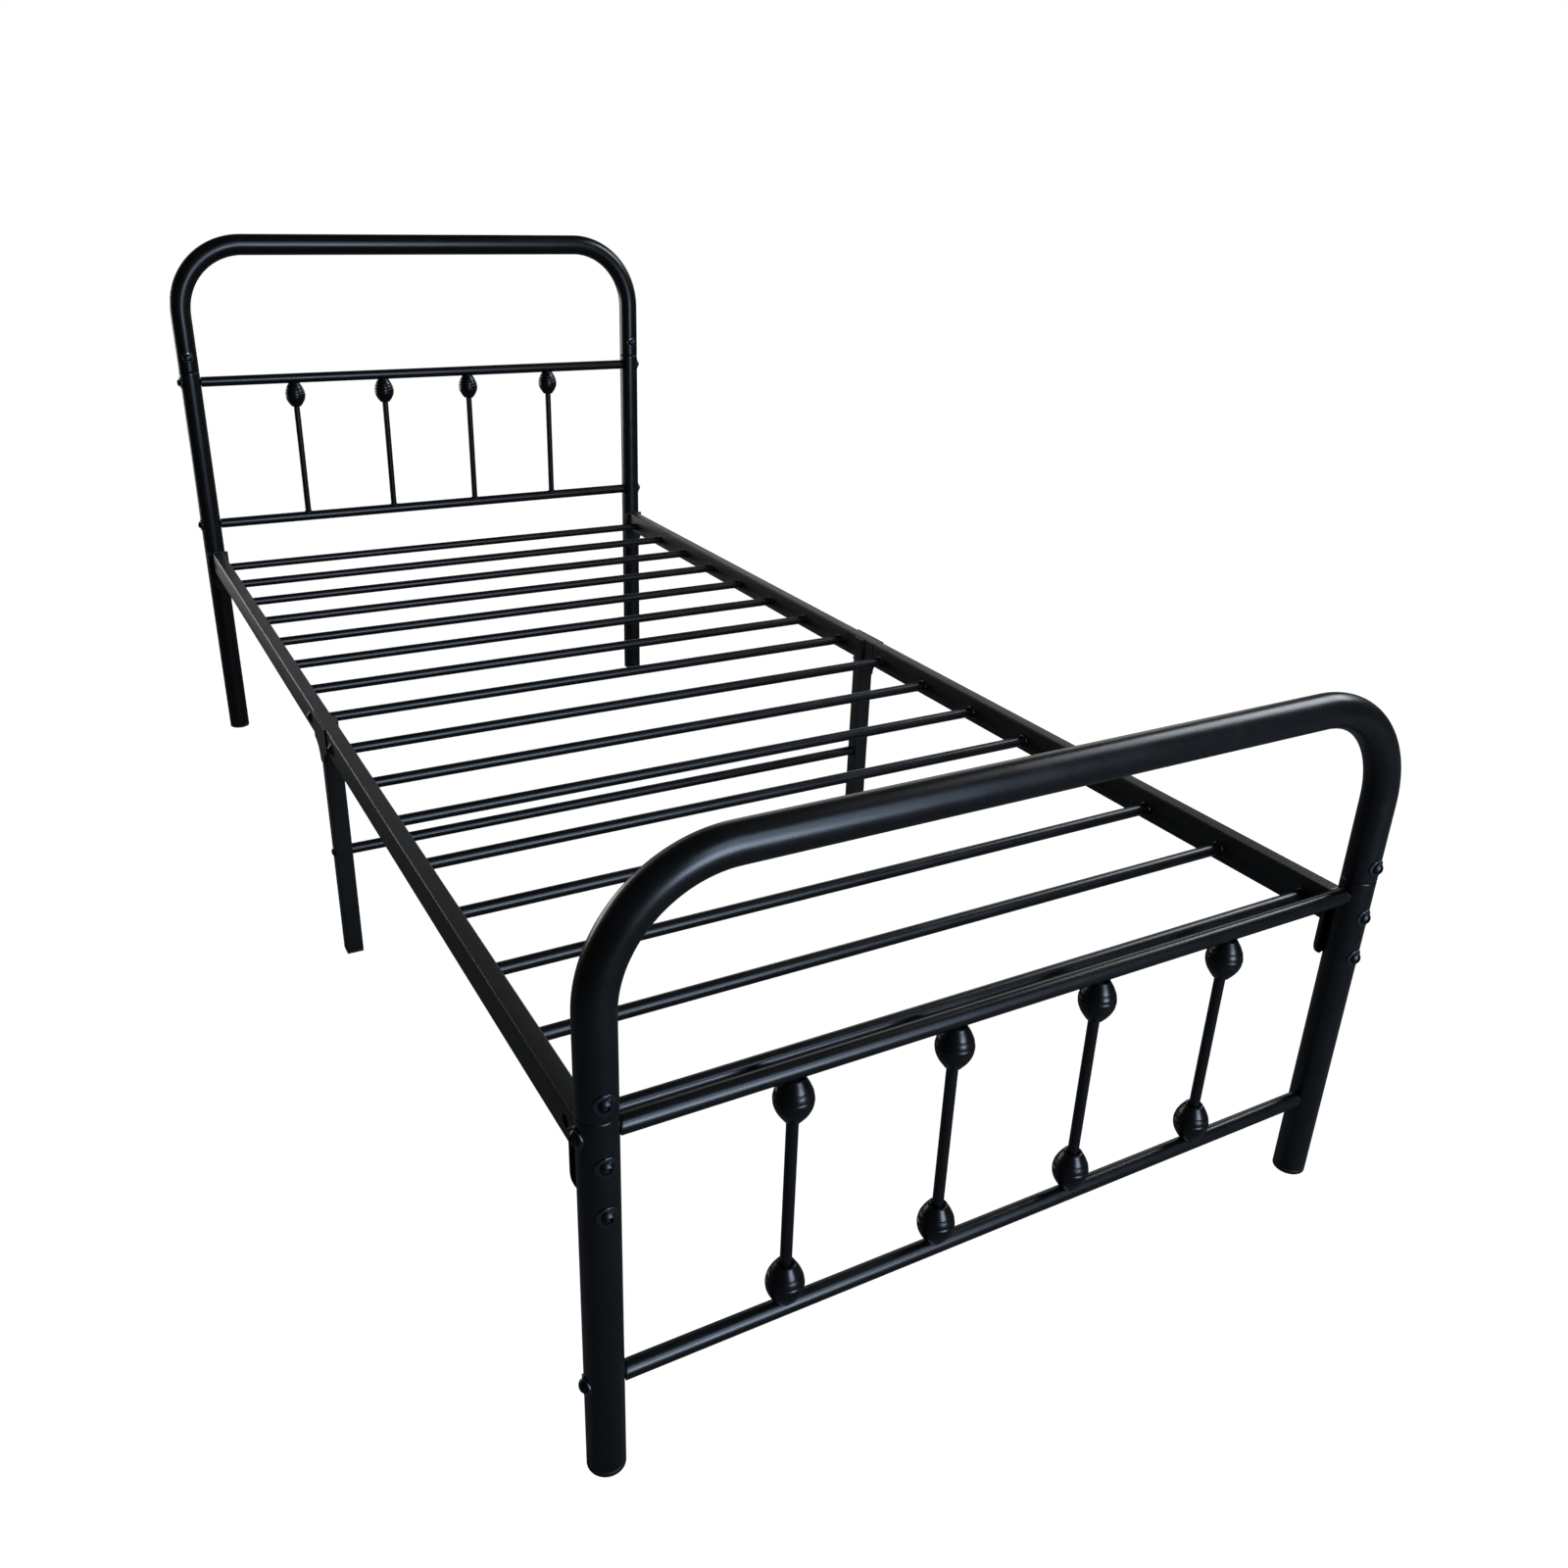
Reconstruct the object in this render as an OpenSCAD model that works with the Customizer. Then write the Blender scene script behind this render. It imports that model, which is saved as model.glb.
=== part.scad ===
// Single metal bed frame with arched headboard and footboard.
// Origin: floor level, centre of the frame. +Z up, +Y towards the headboard, X across the bed.

/* [Overall layout] */
// Distance between the left and right post axes
post_spacing_x = 930; // [900:1:1000]
// Distance between the head and foot post axes
post_spacing_y = 2052; // [2000:1:2150]
// Height of the side rails' top face
rail_top_z = 388; // [380:1:388]

/* [Posts and arches] */
// Outside diameter of the posts and the bent arches
post_d = 38; // [36:0.5:40]
// Wall thickness of the posts and arches
post_wall = 1.2; // [1:0.1:1.5]
// Height of the seam between headboard post and arch
head_seam_z = 741; // [738:1:760]
// Height of the headboard arch's top, at its axis
head_arch_z = 971; // [930:0.5:1050]
// Bend radius of the headboard arch, to the tube's axis
head_bend_r = 126; // [90:1:140]
// Height of the seam between footboard post and arch
foot_seam_z = 415; // [406:1:418]
// Height of the footboard arch's top, at its axis
foot_arch_z = 636.5; // [620:0.5:700]
// Bend radius of the footboard arch, to the tube's axis
foot_bend_r = 126; // [100:1:140]
// Length of the reduced neck that a post pushes into its arch
neck_length = 52; // [45:1:60]

/* [Crossbars and spindles] */
// Outside diameter of the crossbars
crossbar_d = 19; // [18:0.5:22]
// Wall thickness of the crossbars
crossbar_wall = 1.2; // [1:0.1:1.5]
// Height of the headboard's upper crossbar
head_upper_z = 721; // [700:1:721]
// Height of the headboard's lower crossbar
head_lower_z = 441.5; // [420:0.5:470]
// Height of the footboard's upper crossbar
foot_upper_z = 394; // [388:1:394]
// Height of the footboard's lower crossbar
foot_lower_z = 109.5; // [90:0.5:130]
// Spacing of the spindles along the crossbars
spindle_pitch = 180; // [150:1:200]
// Sideways offset of the footboard's spindles
foot_spindle_shift = -4.5; // [-6:0.5:6]
// Diameter of the spindle rods
spindle_d = 12; // [10:0.5:13]
// Largest diameter of a bead
bead_d = 39.5; // [30:0.5:40]
// Height of a bead
bead_h = 47; // [42:1:54]

/* [Side rails and slats] */
// Height of the rail section
rail_h = 40; // [38:1:42]
// Width of the rail section
rail_w = 20; // [20:1:22]
// Wall thickness of the rails
rail_wall = 1.2; // [1:0.1:1.5]
// Distance from the post axis in to the rail's centre line
rail_inset = 2; // [0:0.5:3]
// Outside diameter of the slats
slat_d = 15; // [12:0.5:18]
// Wall thickness of the slats
slat_wall = 1; // [0.8:0.1:1.2]
// Depth of the slat axes below the rail's top face
slat_drop = 24; // [20:0.5:26]
// Distance from the post axis to the nearest slat
slat_end_gap = 62; // [62:1:70]
// How much nearer to the end the last slat sits than an even spacing gives
end_slat_shift = 4; // [0:0.5:4]
// Distance from the middle of the bed to the nearest slat
slat_middle_gap = 66; // [60:1:70]

/* [Middle joint] */
// Side of the square middle leg
leg_w = 25; // [22:1:28]
// Wall thickness of the middle leg
leg_wall = 1.2; // [1:0.1:1.5]
// Distance from the post axis in to the middle leg's axis
leg_inset = 3.5; // [3:0.5:4.5]
// Length of the joiner between the two rail halves
joiner_length = 80; // [70:1:90]
// Length of each tongue inside a rail
tongue_length = 52; // [45:1:60]
// Height of the stretcher between the middle legs
stretcher_z = 174; // [120:1:220]
// Outside diameter of the stretcher
stretcher_d = 16; // [14:0.5:19]

/* [Fasteners] */
// Bolt thread diameter
bolt_d = 8; // [6:1:8]
// Bolt head diameter
head_d = 14; // [12:0.5:15]
// Bolt head height
head_h = 4.4; // [3.5:0.1:5]
// Washer diameter
washer_d = 21; // [18:0.5:22]
// Washer thickness
washer_t = 1.6; // [1:0.1:2]
// Height of the upper bolt through post and rail plate
plate_upper_z = 370; // [368:1:371]
// Height of the lower bolt through post and rail plate
plate_lower_z = 317; // [310:1:325]
// Height of the bolt that holds the headboard arch on its post
head_arch_bolt_z = 769; // [765:1:773]
// Height of the bolt that holds the footboard arch on its post
foot_arch_bolt_z = 434; // [430:1:440]

/* [Hidden] */
$fn = 96;

// Colours of the coated steel and of the plastic and zinc parts
coat = "#23262b";
coat_deck = "#33373a";
plastic = "#17181a";
hardware = "#1b1c20";

// Half spacings and the frame's levels
px = post_spacing_x / 2;
py = post_spacing_y / 2;
post_r = post_d / 2;
bore_r = post_r - post_wall;
fit_gap = 0.1;
neck_r = bore_r - fit_gap;
shoulder_h = 1.2;
cap_h = 6;
leg_cap_h = 4;
cope_gap = 0.05;

// Rail box: inner and outer face, underside
rail_x = px - rail_inset;
rail_in = rail_x - rail_w / 2;
rail_out = rail_x + rail_w / 2;
rail_bottom_z = rail_top_z - rail_h;
slat_z = rail_top_z - slat_drop;
slats_per_half = 8;
slat_pitch = (py - slat_end_gap - slat_middle_gap) / (slats_per_half - 1);

// Plate welded to the rail's outer end, against the post
plate_t = 3;
plate_w = 40;
plate_drop = 44;
plate_inner_r = 18;
plate_outer_r = 38;
plate_y = py - post_r - cope_gap;
rail_end_y = plate_y - plate_t;
joint_gap = 1;
rail_start_y = joiner_length / 2 + joint_gap;
drain_hole_d = 13;
drain_hole_y = py - 55;
drain_hole_z = rail_top_z - 20;
rail_corner_r = 2;

// Middle joint
leg_x = px - leg_inset;
gusset_t = 2.5;
gusset_r = joiner_length / 2 - leg_w / 2;
tongue_w = rail_w - 2 * rail_wall - 0.6;
tongue_h = rail_h - 2 * rail_wall - 0.6;
tongue_wall = 1.5;
joint_bolt_y = 69;
joint_bolt_z = rail_top_z - 20;

// Bolt clearances and the nuts welded behind them
clear_d = bolt_d + 0.5;
tapped_d = bolt_d + 0.1;
nut_flats = 13;
nut_h = 6.5;
hex_flats = 5;
hex_depth = 2.6;
plug_l = 12;
stretcher_wall = 1.2;
post_bolt_l = 2 * post_r + plate_t + nut_h + 1;
side_bolt_l = 2 * post_r + plug_l - 2;
arch_bolt_l = post_wall * 2 + nut_h + 1;
joint_bolt_l = rail_wall + tongue_wall + nut_h + 1;
stretcher_bolt_l = leg_w + plug_l - 2;

// Half width at a height t (0 to 1) along a bead: a cosine bulb, widest at bead_mid_t
bead_mid_t = 0.48;
bead_low_turn = 130;
bead_top_turn = 116;
function bead_r(t) =
    bead_d / 2 * cos((t < bead_mid_t ? bead_low_turn : bead_top_turn) * (t - bead_mid_t));
// Three turned grooves round a bead: their levels, half height and depth
bead_grooves = [0.44, 0.59, 0.75];
bead_groove_t = 0.018;
bead_groove_depth = 0.8;
// Levels of the plain bands below, between and above the grooves
bead_bands = [
    [0, 0.06, 0.12, 0.18, 0.24, 0.3, 0.36], [0.48, 0.53], [0.64, 0.69], [0.81, 0.86, 0.91, 0.96, 1]
];
// ---------- Shared shapes ----------

// Rectangle with round corners, centred
module round_rect(w, h, r) {
    union() {
        square([w - 2 * r, h], center = true);
        square([w, h - 2 * r], center = true);
        for (sx = [-1, 1]) {
            for (sy = [-1, 1]) {
                translate([sx * (w / 2 - r), sy * (h / 2 - r)]) circle(r = r);
            }
        }
    }
}

// Hexagonal prism from its size across flats
module hexagon(flats, h) {
    cylinder(d = flats / cos(30), h = h, $fn = 6);
}

// Solid path of an arch: two legs, two quarter bends and the crown
module arch_path(r, start_z, top_z, bend_r) {
    bend_z = top_z - bend_r;
    bend_x = px - bend_r;
    for (s = [-1, 1]) {
        translate([s * px, 0, start_z]) cylinder(r = r, h = bend_z - start_z);
    }
    translate([bend_x, 0, bend_z]) rotate([90, 0, 0])
        rotate_extrude(angle = 90) translate([bend_r, 0]) circle(r = r);
    translate([-bend_x, 0, bend_z]) rotate([90, 0, 0]) rotate([0, 0, 90])
        rotate_extrude(angle = 90) translate([bend_r, 0]) circle(r = r);
    translate([-bend_x, 0, top_z]) rotate([0, 90, 0]) cylinder(r = r, h = 2 * bend_x);
}

// Bent arch tube with a bolt hole in each leg. The bolt faces the foot of the bed.
module arch(seam_z, top_z, bend_r, bolt_z) {
    difference() {
        arch_path(post_r, seam_z, top_z, bend_r);
        arch_path(bore_r, seam_z - 1, top_z, bend_r);
        for (s = [-1, 1]) {
            translate([s * px, 0, bolt_z]) rotate([90, 0, 0])
                cylinder(d = clear_d, h = post_r + 2);
        }
    }
}

// Post on its own axis: tube, reduced neck, bolt holes and the nut welded inside the neck
module post(seam_z, crossbar_heights, bolt_z) {
    difference() {
        union() {
            translate([0, 0, cap_h]) cylinder(r = post_r, h = seam_z - shoulder_h - cap_h);
            translate([0, 0, seam_z - shoulder_h])
                cylinder(r1 = post_r, r2 = neck_r, h = shoulder_h);
            translate([0, 0, seam_z - 1]) cylinder(r = neck_r, h = neck_length + 1);
        }
        translate([0, 0, cap_h - 1]) cylinder(r = bore_r, h = seam_z - cap_h - 3);
        translate([0, 0, seam_z - 5]) cylinder(r = neck_r - post_wall, h = neck_length + 6);
        translate([0, 0, bolt_z]) rotate([90, 0, 0]) cylinder(d = tapped_d, h = post_r + 2);
        for (z = crossbar_heights) {
            translate([-post_r - 2, 0, z]) rotate([0, 90, 0])
                cylinder(d = clear_d, h = post_d + 4);
        }
        for (z = [plate_lower_z, plate_upper_z]) {
            translate([0, post_r + 2, z]) rotate([90, 0, 0]) cylinder(d = clear_d, h = post_d + 4);
        }
    }
    neck_nut(bolt_z);
}

// Nut welded to the wall inside the neck, behind the arch bolt
module neck_nut(z) {
    difference() {
        intersection() {
            translate([0, -neck_r, z]) rotate([-90, 0, 0]) hexagon(nut_flats, post_wall + nut_h);
            translate([0, 0, z - nut_flats]) cylinder(r = neck_r - post_wall / 2, h = 2 * nut_flats);
        }
        translate([0, 0, z]) rotate([90, 0, 0]) cylinder(d = tapped_d, h = post_r + 2);
    }
}

// Crossbar along X at a height: thin tube coped to both posts, tapped plug in each end
module crossbar(z) {
    bar_r = crossbar_d / 2;
    end_x = px - post_r;
    difference() {
        union() {
            difference() {
                translate([-px, 0, z]) rotate([0, 90, 0]) cylinder(r = bar_r, h = 2 * px);
                translate([-px - 1, 0, z]) rotate([0, 90, 0])
                    cylinder(r = bar_r - crossbar_wall, h = 2 * px + 2);
            }
            for (s = [-1, 1]) {
                translate([s * (end_x - plug_l / 2 + 2), 0, z]) rotate([0, 90, 0])
                    cylinder(r = bar_r - crossbar_wall / 2, h = plug_l + 4, center = true);
            }
        }
        for (s = [-1, 1]) {
            translate([s * px, 0, z - crossbar_d]) cylinder(r = post_r + cope_gap, h = 2 * crossbar_d);
            translate([s * px, 0, z]) rotate([0, 90, 0])
                cylinder(d = tapped_d, h = 4 * (post_r + plug_l), center = true);
        }
    }
}

// Spindle rod between two crossbars, its ends cut to sit on the round bars
module spindle(i, low_z, high_z) {
    translate([(i - 2.5) * spindle_pitch, 0, 0]) difference() {
        translate([0, 0, low_z]) cylinder(d = spindle_d, h = high_z - low_z);
        for (z = [low_z, high_z]) {
            translate([-spindle_d, 0, z]) rotate([0, 90, 0])
                cylinder(r = crossbar_d / 2 + cope_gap, h = 2 * spindle_d);
        }
    }
}

// Turned bead threaded on a rod, with its foot at base_z and cut by the crossbar at bar_z
module bead(i, base_z, bar_z) {
    grooved = [for (k = [0:len(bead_bands) - 1]) each concat(
        [for (t = bead_bands[k]) [bead_r(t), t * bead_h]],
        k == len(bead_grooves) ? [] : [for (e = [-1, 0, 1])
            let (t = bead_grooves[k] + e * bead_groove_t)
                [bead_r(t) - (1 - abs(e)) * bead_groove_depth, t * bead_h]]
    )];
    bore = spindle_d / 2 + cope_gap;
    translate([(i - 2.5) * spindle_pitch, 0, 0]) difference() {
        translate([0, 0, base_z])
            rotate_extrude() polygon(concat([[bore, 0]], grooved, [[bore, bead_h]]));
        translate([0, 0, base_z + bead_h - 1.5]) cylinder(r = spindle_d / 2 + 1.4, h = 4);
        translate([-bead_d, 0, bar_z]) rotate([0, 90, 0])
            cylinder(r = crossbar_d / 2 + cope_gap, h = 2 * bead_d);
    }
}

// Half rail on the +X side towards +Y: hollow box, end plate and the two weld nuts behind it
module half_rail() {
    length = rail_end_y - rail_start_y;
    plate_z0 = rail_bottom_z - plate_drop;
    difference() {
        union() {
            difference() {
                translate([rail_x, rail_end_y, rail_bottom_z + rail_h / 2]) rotate([90, 0, 0])
                    linear_extrude(length) round_rect(rail_w, rail_h, rail_corner_r);
                translate([rail_x - rail_w / 2 + rail_wall, rail_start_y - 1, rail_bottom_z + rail_wall])
                    cube([rail_w - 2 * rail_wall, length + 2, rail_h - 2 * rail_wall]);
            }
            translate([rail_x, plate_y, 0]) rotate([90, 0, 0]) linear_extrude(plate_t)
                plate_outline(plate_z0);
            for (z = [plate_lower_z, plate_upper_z]) {
                translate([px, rail_end_y + 0.5, z]) rotate([90, 0, 0])
                    hexagon(nut_flats, nut_h + 0.5);
            }
        }
        for (z = [plate_lower_z, plate_upper_z]) {
            translate([px, plate_y + 1, z]) rotate([90, 0, 0])
                cylinder(d = tapped_d, h = plate_t + nut_h + 4);
        }
        translate([rail_x, drain_hole_y, drain_hole_z]) rotate([0, 90, 0])
            cylinder(d = drain_hole_d, h = rail_w);
        translate([rail_x, joint_bolt_y, joint_bolt_z]) rotate([0, 90, 0])
            cylinder(d = clear_d, h = rail_w);
    }
}

// Outline of the end plate: square at the top, a wide round corner below on the outside (+X)
// and a smaller one on the inside
module plate_outline(z0) {
    half = plate_w / 2;
    difference() {
        translate([-half, z0]) square([plate_w, rail_top_z - z0]);
        difference() {
            translate([-half - 1, z0 - 1]) square([plate_inner_r + 1, plate_inner_r + 1]);
            translate([-half + plate_inner_r, z0 + plate_inner_r]) circle(r = plate_inner_r);
        }
        difference() {
            translate([half - plate_outer_r, z0 - 1]) square([plate_outer_r + 1, plate_outer_r + 1]);
            translate([half - plate_outer_r, z0 + plate_outer_r]) circle(r = plate_outer_r);
        }
    }
}

// Slat across the deck, numbered from the head end
module slat(n) {
    from_head = n <= slats_per_half ? n - 1 : 2 * slats_per_half - n;
    side = n <= slats_per_half ? 1 : -1;
    end_shift = from_head == 0 ? end_slat_shift : 0;
    slat_y = side * (py - slat_end_gap - from_head * slat_pitch + end_shift);
    color(coat) translate([-rail_in, slat_y, slat_z]) rotate([0, 90, 0]) difference() {
        cylinder(d = slat_d, h = 2 * rail_in);
        translate([0, 0, -1]) cylinder(d = slat_d - 2 * slat_wall, h = 2 * rail_in + 2);
    }
}

// Outer gusset of the middle joint: a strip under the joiner, curving down into the leg
module gusset_outline() {
    half = joiner_length / 2;
    difference() {
        translate([-half, rail_bottom_z - gusset_r]) square([joiner_length, rail_h + gusset_r]);
        for (s = [-1, 1]) {
            translate([s * half, rail_bottom_z - gusset_r]) circle(r = gusset_r);
        }
    }
}

// Middle leg on the +X side: leg, joiner, gusset and the tongues inside the rails
module middle_leg() {
    half = joiner_length / 2;
    difference() {
        union() {
            translate([leg_x - leg_w / 2, -leg_w / 2, leg_cap_h])
                cube([leg_w, leg_w, rail_top_z - rail_wall - leg_cap_h]);
            translate([rail_in, -half, rail_bottom_z]) cube([rail_w, joiner_length, rail_h]);
            translate([rail_out - 0.5, 0, 0]) rotate([90, 0, 90])
                linear_extrude(gusset_t + 0.5) gusset_outline();
            translate([rail_x, 0, rail_bottom_z + rail_h / 2])
                cube([tongue_w, joiner_length + 2 * tongue_length, tongue_h], center = true);
        }
        translate([leg_x, 0, leg_cap_h - 1 + (rail_bottom_z - leg_cap_h) / 2])
            cube([leg_w - 2 * leg_wall, leg_w - 2 * leg_wall, rail_bottom_z - leg_cap_h + 2],
                center = true);
        for (s = [-1, 1]) {
            translate([rail_x, s * (half + tongue_length / 2), rail_bottom_z + rail_h / 2])
                cube([tongue_w - 2 * tongue_wall, tongue_length + 2, tongue_h - 2 * tongue_wall],
                    center = true);
            translate([rail_x, s * joint_bolt_y, joint_bolt_z]) rotate([0, 90, 0])
                cylinder(d = tapped_d, h = rail_w);
        }
        translate([leg_x - leg_w, 0, stretcher_z]) rotate([0, 90, 0])
            cylinder(d = clear_d, h = 2 * leg_w);
    }
    for (s = [-1, 1]) {
        translate([rail_x + tongue_w / 2 - tongue_wall + 0.2, s * joint_bolt_y, joint_bolt_z])
            rotate([0, -90, 0]) difference() {
                hexagon(nut_flats, nut_h);
                translate([0, 0, -1]) cylinder(d = tapped_d, h = nut_h + 2);
            }
    }
}

// Button-head bolt along +Z from its seat at z = 0: domed head above, shank below
module button_bolt(length) {
    dome_r = (head_h * head_h + head_d * head_d / 4) / (2 * head_h);
    difference() {
        union() {
            translate([0, 0, -length]) cylinder(d = bolt_d, h = length + 0.5);
            intersection() {
                cylinder(d = head_d, h = head_h);
                translate([0, 0, head_h - dome_r - 0.3]) sphere(r = dome_r + 0.3);
            }
        }
        translate([0, 0, head_h - hex_depth]) hexagon(hex_flats, hex_depth + 1);
    }
}

// Plastic cap under a round post, with a hollow spigot
module round_cap() {
    edge = 1.2;
    rotate_extrude() polygon([
        [0, 0], [post_r - edge, 0], [post_r - edge * 0.3, edge * 0.3], [post_r, edge],
        [post_r, cap_h], [bore_r - fit_gap, cap_h], [bore_r - fit_gap, cap_h + 16],
        [bore_r - 2.2, cap_h + 16], [bore_r - 2.2, cap_h - 3], [0, cap_h - 3]
    ]);
}

// Plastic cap under a square leg
module square_cap() {
    inner = leg_w - 2 * leg_wall - 2 * fit_gap;
    difference() {
        union() {
            linear_extrude(leg_cap_h) round_rect(leg_w, leg_w, 1.5);
            translate([-inner / 2, -inner / 2, leg_cap_h - 1]) cube([inner, inner, 15]);
        }
        translate([-inner / 2 + 2, -inner / 2 + 2, leg_cap_h]) cube([inner - 4, inner - 4, 20]);
    }
}

// Washer curved to a post: a disc of bolt radius cut from a shell around the tube
module saddle_washer() {
    intersection() {
        difference() {
            rotate([90, 0, 0]) cylinder(d = washer_d, h = post_r + washer_t + 2);
            rotate([90, 0, 0]) cylinder(d = clear_d, h = post_r + washer_t + 3);
        }
        difference() {
            translate([0, 0, -washer_d]) cylinder(r = post_r + washer_t, h = 2 * washer_d);
            translate([0, 0, -washer_d - 1]) cylinder(r = post_r, h = 2 * washer_d + 2);
        }
    }
}

// Places its child at the left and right posts, at the given heights on each board
module at_each_post(heights_head, heights_foot) {
    for (sx = [-1, 1]) {
        for (z = heights_head) translate([sx * px, py, z]) children();
        for (z = heights_foot) translate([sx * px, -py, z]) children();
    }
}

// ---------- Headboard ----------

module headboard_arch() {
    color(coat) translate([0, py, 0]) arch(head_seam_z, head_arch_z, head_bend_r, head_arch_bolt_z);
}

module headboard_post(s) {
    color(coat) translate([s * px, py, 0]) post(head_seam_z, [head_lower_z, head_upper_z], head_arch_bolt_z);
}

module headboard_crossbar(z) {
    color(coat) translate([0, py, 0]) crossbar(z);
}

module headboard_spindle(i) {
    color(coat) translate([0, py, 0]) spindle(i, head_lower_z, head_upper_z);
}

module headboard_bead(i) {
    base_z = head_upper_z - crossbar_d / 2 + 1.5 - bead_h;
    color(coat) translate([0, py, 0]) bead(i, base_z, head_upper_z);
}

// ---------- Footboard ----------

module footboard_arch() {
    color(coat) translate([0, -py, 0]) arch(foot_seam_z, foot_arch_z, foot_bend_r, foot_arch_bolt_z);
}

module footboard_post(s) {
    color(coat) translate([s * px, -py, 0]) post(foot_seam_z, [foot_lower_z, foot_upper_z], foot_arch_bolt_z);
}

module footboard_crossbar(z) {
    color(coat) translate([0, -py, 0]) crossbar(z);
}

module footboard_spindle(i) {
    color(coat) translate([foot_spindle_shift, -py, 0]) spindle(i, foot_lower_z, foot_upper_z);
}

module footboard_upper_bead(i) {
    base_z = foot_upper_z - crossbar_d / 2 + 1.5 - bead_h;
    color(coat) translate([foot_spindle_shift, -py, 0]) bead(i, base_z, foot_upper_z);
}

module footboard_lower_bead(i) {
    base_z = foot_lower_z + crossbar_d / 2 - 1;
    color(coat) translate([foot_spindle_shift, -py, 0]) bead(i, base_z, foot_lower_z);
}

// ---------- Deck ----------

// Half rail mirrored to its corner: sx is left (-1) or right (1), sy foot (-1) or head (1)
module rail(sx, sy) {
    color(coat_deck) mirror([sx < 0 ? 1 : 0, 0, 0]) mirror([0, sy < 0 ? 1 : 0, 0]) half_rail();
}

// Middle leg mirrored to its side: left (-1) or right (1)
module side_leg(sx) {
    color(coat_deck) mirror([sx < 0 ? 1 : 0, 0, 0]) middle_leg();
}

// Stretcher between the middle legs, with a tapped plug in each end
module middle_stretcher() {
    reach = leg_x - leg_w / 2;
    color(coat) translate([-reach, 0, stretcher_z]) rotate([0, 90, 0]) difference() {
        cylinder(d = stretcher_d, h = 2 * reach);
        translate([0, 0, plug_l])
            cylinder(d = stretcher_d - 2 * stretcher_wall, h = 2 * (reach - plug_l));
        translate([0, 0, -1]) cylinder(d = tapped_d, h = 2 * reach + 2);
    }
}

// ---------- Small parts ----------

module post_foot_caps() {
    color(plastic) at_each_post([0], [0]) round_cap();
}

module middle_leg_foot_caps() {
    color(plastic) {
        for (s = [-1, 1]) {
            translate([s * leg_x, 0, 0]) square_cap();
        }
    }
}

module arch_bolts() {
    heights = [[head_arch_bolt_z], [foot_arch_bolt_z]];
    color(hardware) at_each_post(heights[0], heights[1])
        translate([0, -post_r - washer_t, 0]) rotate([90, 0, 0]) button_bolt(arch_bolt_l + washer_t);
}

module crossbar_bolts() {
    color(hardware) {
        for (sx = [-1, 1]) {
            for (end = [[py, head_lower_z], [py, head_upper_z], [-py, foot_lower_z], [-py, foot_upper_z]]) {
                translate([sx * (px + post_r + washer_t), end[0], end[1]]) rotate([0, sx * 90, 0])
                    button_bolt(side_bolt_l + washer_t);
            }
        }
    }
}

module rail_bracket_bolts() {
    color(hardware) {
        for (sx = [-1, 1]) {
            for (sy = [-1, 1]) {
                for (z = [plate_lower_z, plate_upper_z]) {
                    translate([sx * px, sy * (py + post_r + washer_t), z]) rotate([-sy * 90, 0, 0])
                        button_bolt(post_bolt_l + washer_t);
                }
            }
        }
    }
}

module middle_joint_bolts() {
    color(hardware) {
        for (sx = [-1, 1]) {
            for (sy = [-1, 1]) {
                translate([sx * (rail_out + washer_t), sy * joint_bolt_y, joint_bolt_z])
                    rotate([0, sx * 90, 0]) button_bolt(joint_bolt_l + washer_t);
            }
            translate([sx * (leg_x + leg_w / 2), 0, stretcher_z]) rotate([0, sx * 90, 0])
                button_bolt(stretcher_bolt_l);
        }
    }
}

module bolt_washers() {
    color(hardware) {
        at_each_post([head_arch_bolt_z], [foot_arch_bolt_z]) saddle_washer();
        for (sx = [-1, 1]) {
            for (sy = [-1, 1]) {
                for (z = [plate_lower_z, plate_upper_z]) {
                    translate([sx * px, sy * py, z]) mirror([0, sy > 0 ? 1 : 0, 0]) saddle_washer();
                }
                translate([sx * rail_out, sy * joint_bolt_y, joint_bolt_z]) rotate([0, sx * 90, 0])
                    difference() {
                        cylinder(d = washer_d - 3, h = washer_t);
                        translate([0, 0, -1]) cylinder(d = clear_d, h = washer_t + 2);
                    }
            }
            for (end = [[py, head_lower_z], [py, head_upper_z], [-py, foot_lower_z], [-py, foot_upper_z]]) {
                translate([sx * px, end[0], end[1]]) rotate([0, 0, sx * 90]) saddle_washer();
            }
        }
    }
}

headboard_arch();
headboard_post(-1);  // headboard_left_post
headboard_post(1);  // headboard_right_post
headboard_crossbar(head_upper_z);  // headboard_upper_crossbar
headboard_crossbar(head_lower_z);  // headboard_lower_crossbar
headboard_spindle(1);  // headboard_spindle_1
headboard_spindle(2);  // headboard_spindle_2
headboard_spindle(3);  // headboard_spindle_3
headboard_spindle(4);  // headboard_spindle_4
headboard_bead(1);  // headboard_bead_1
headboard_bead(2);  // headboard_bead_2
headboard_bead(3);  // headboard_bead_3
headboard_bead(4);  // headboard_bead_4
footboard_arch();
footboard_post(-1);  // footboard_left_post
footboard_post(1);  // footboard_right_post
footboard_crossbar(foot_upper_z);  // footboard_upper_crossbar
footboard_crossbar(foot_lower_z);  // footboard_lower_crossbar
footboard_spindle(1);  // footboard_spindle_1
footboard_spindle(2);  // footboard_spindle_2
footboard_spindle(3);  // footboard_spindle_3
footboard_spindle(4);  // footboard_spindle_4
footboard_upper_bead(1);  // footboard_upper_bead_1
footboard_upper_bead(2);  // footboard_upper_bead_2
footboard_upper_bead(3);  // footboard_upper_bead_3
footboard_upper_bead(4);  // footboard_upper_bead_4
footboard_lower_bead(1);  // footboard_lower_bead_1
footboard_lower_bead(2);  // footboard_lower_bead_2
footboard_lower_bead(3);  // footboard_lower_bead_3
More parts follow.
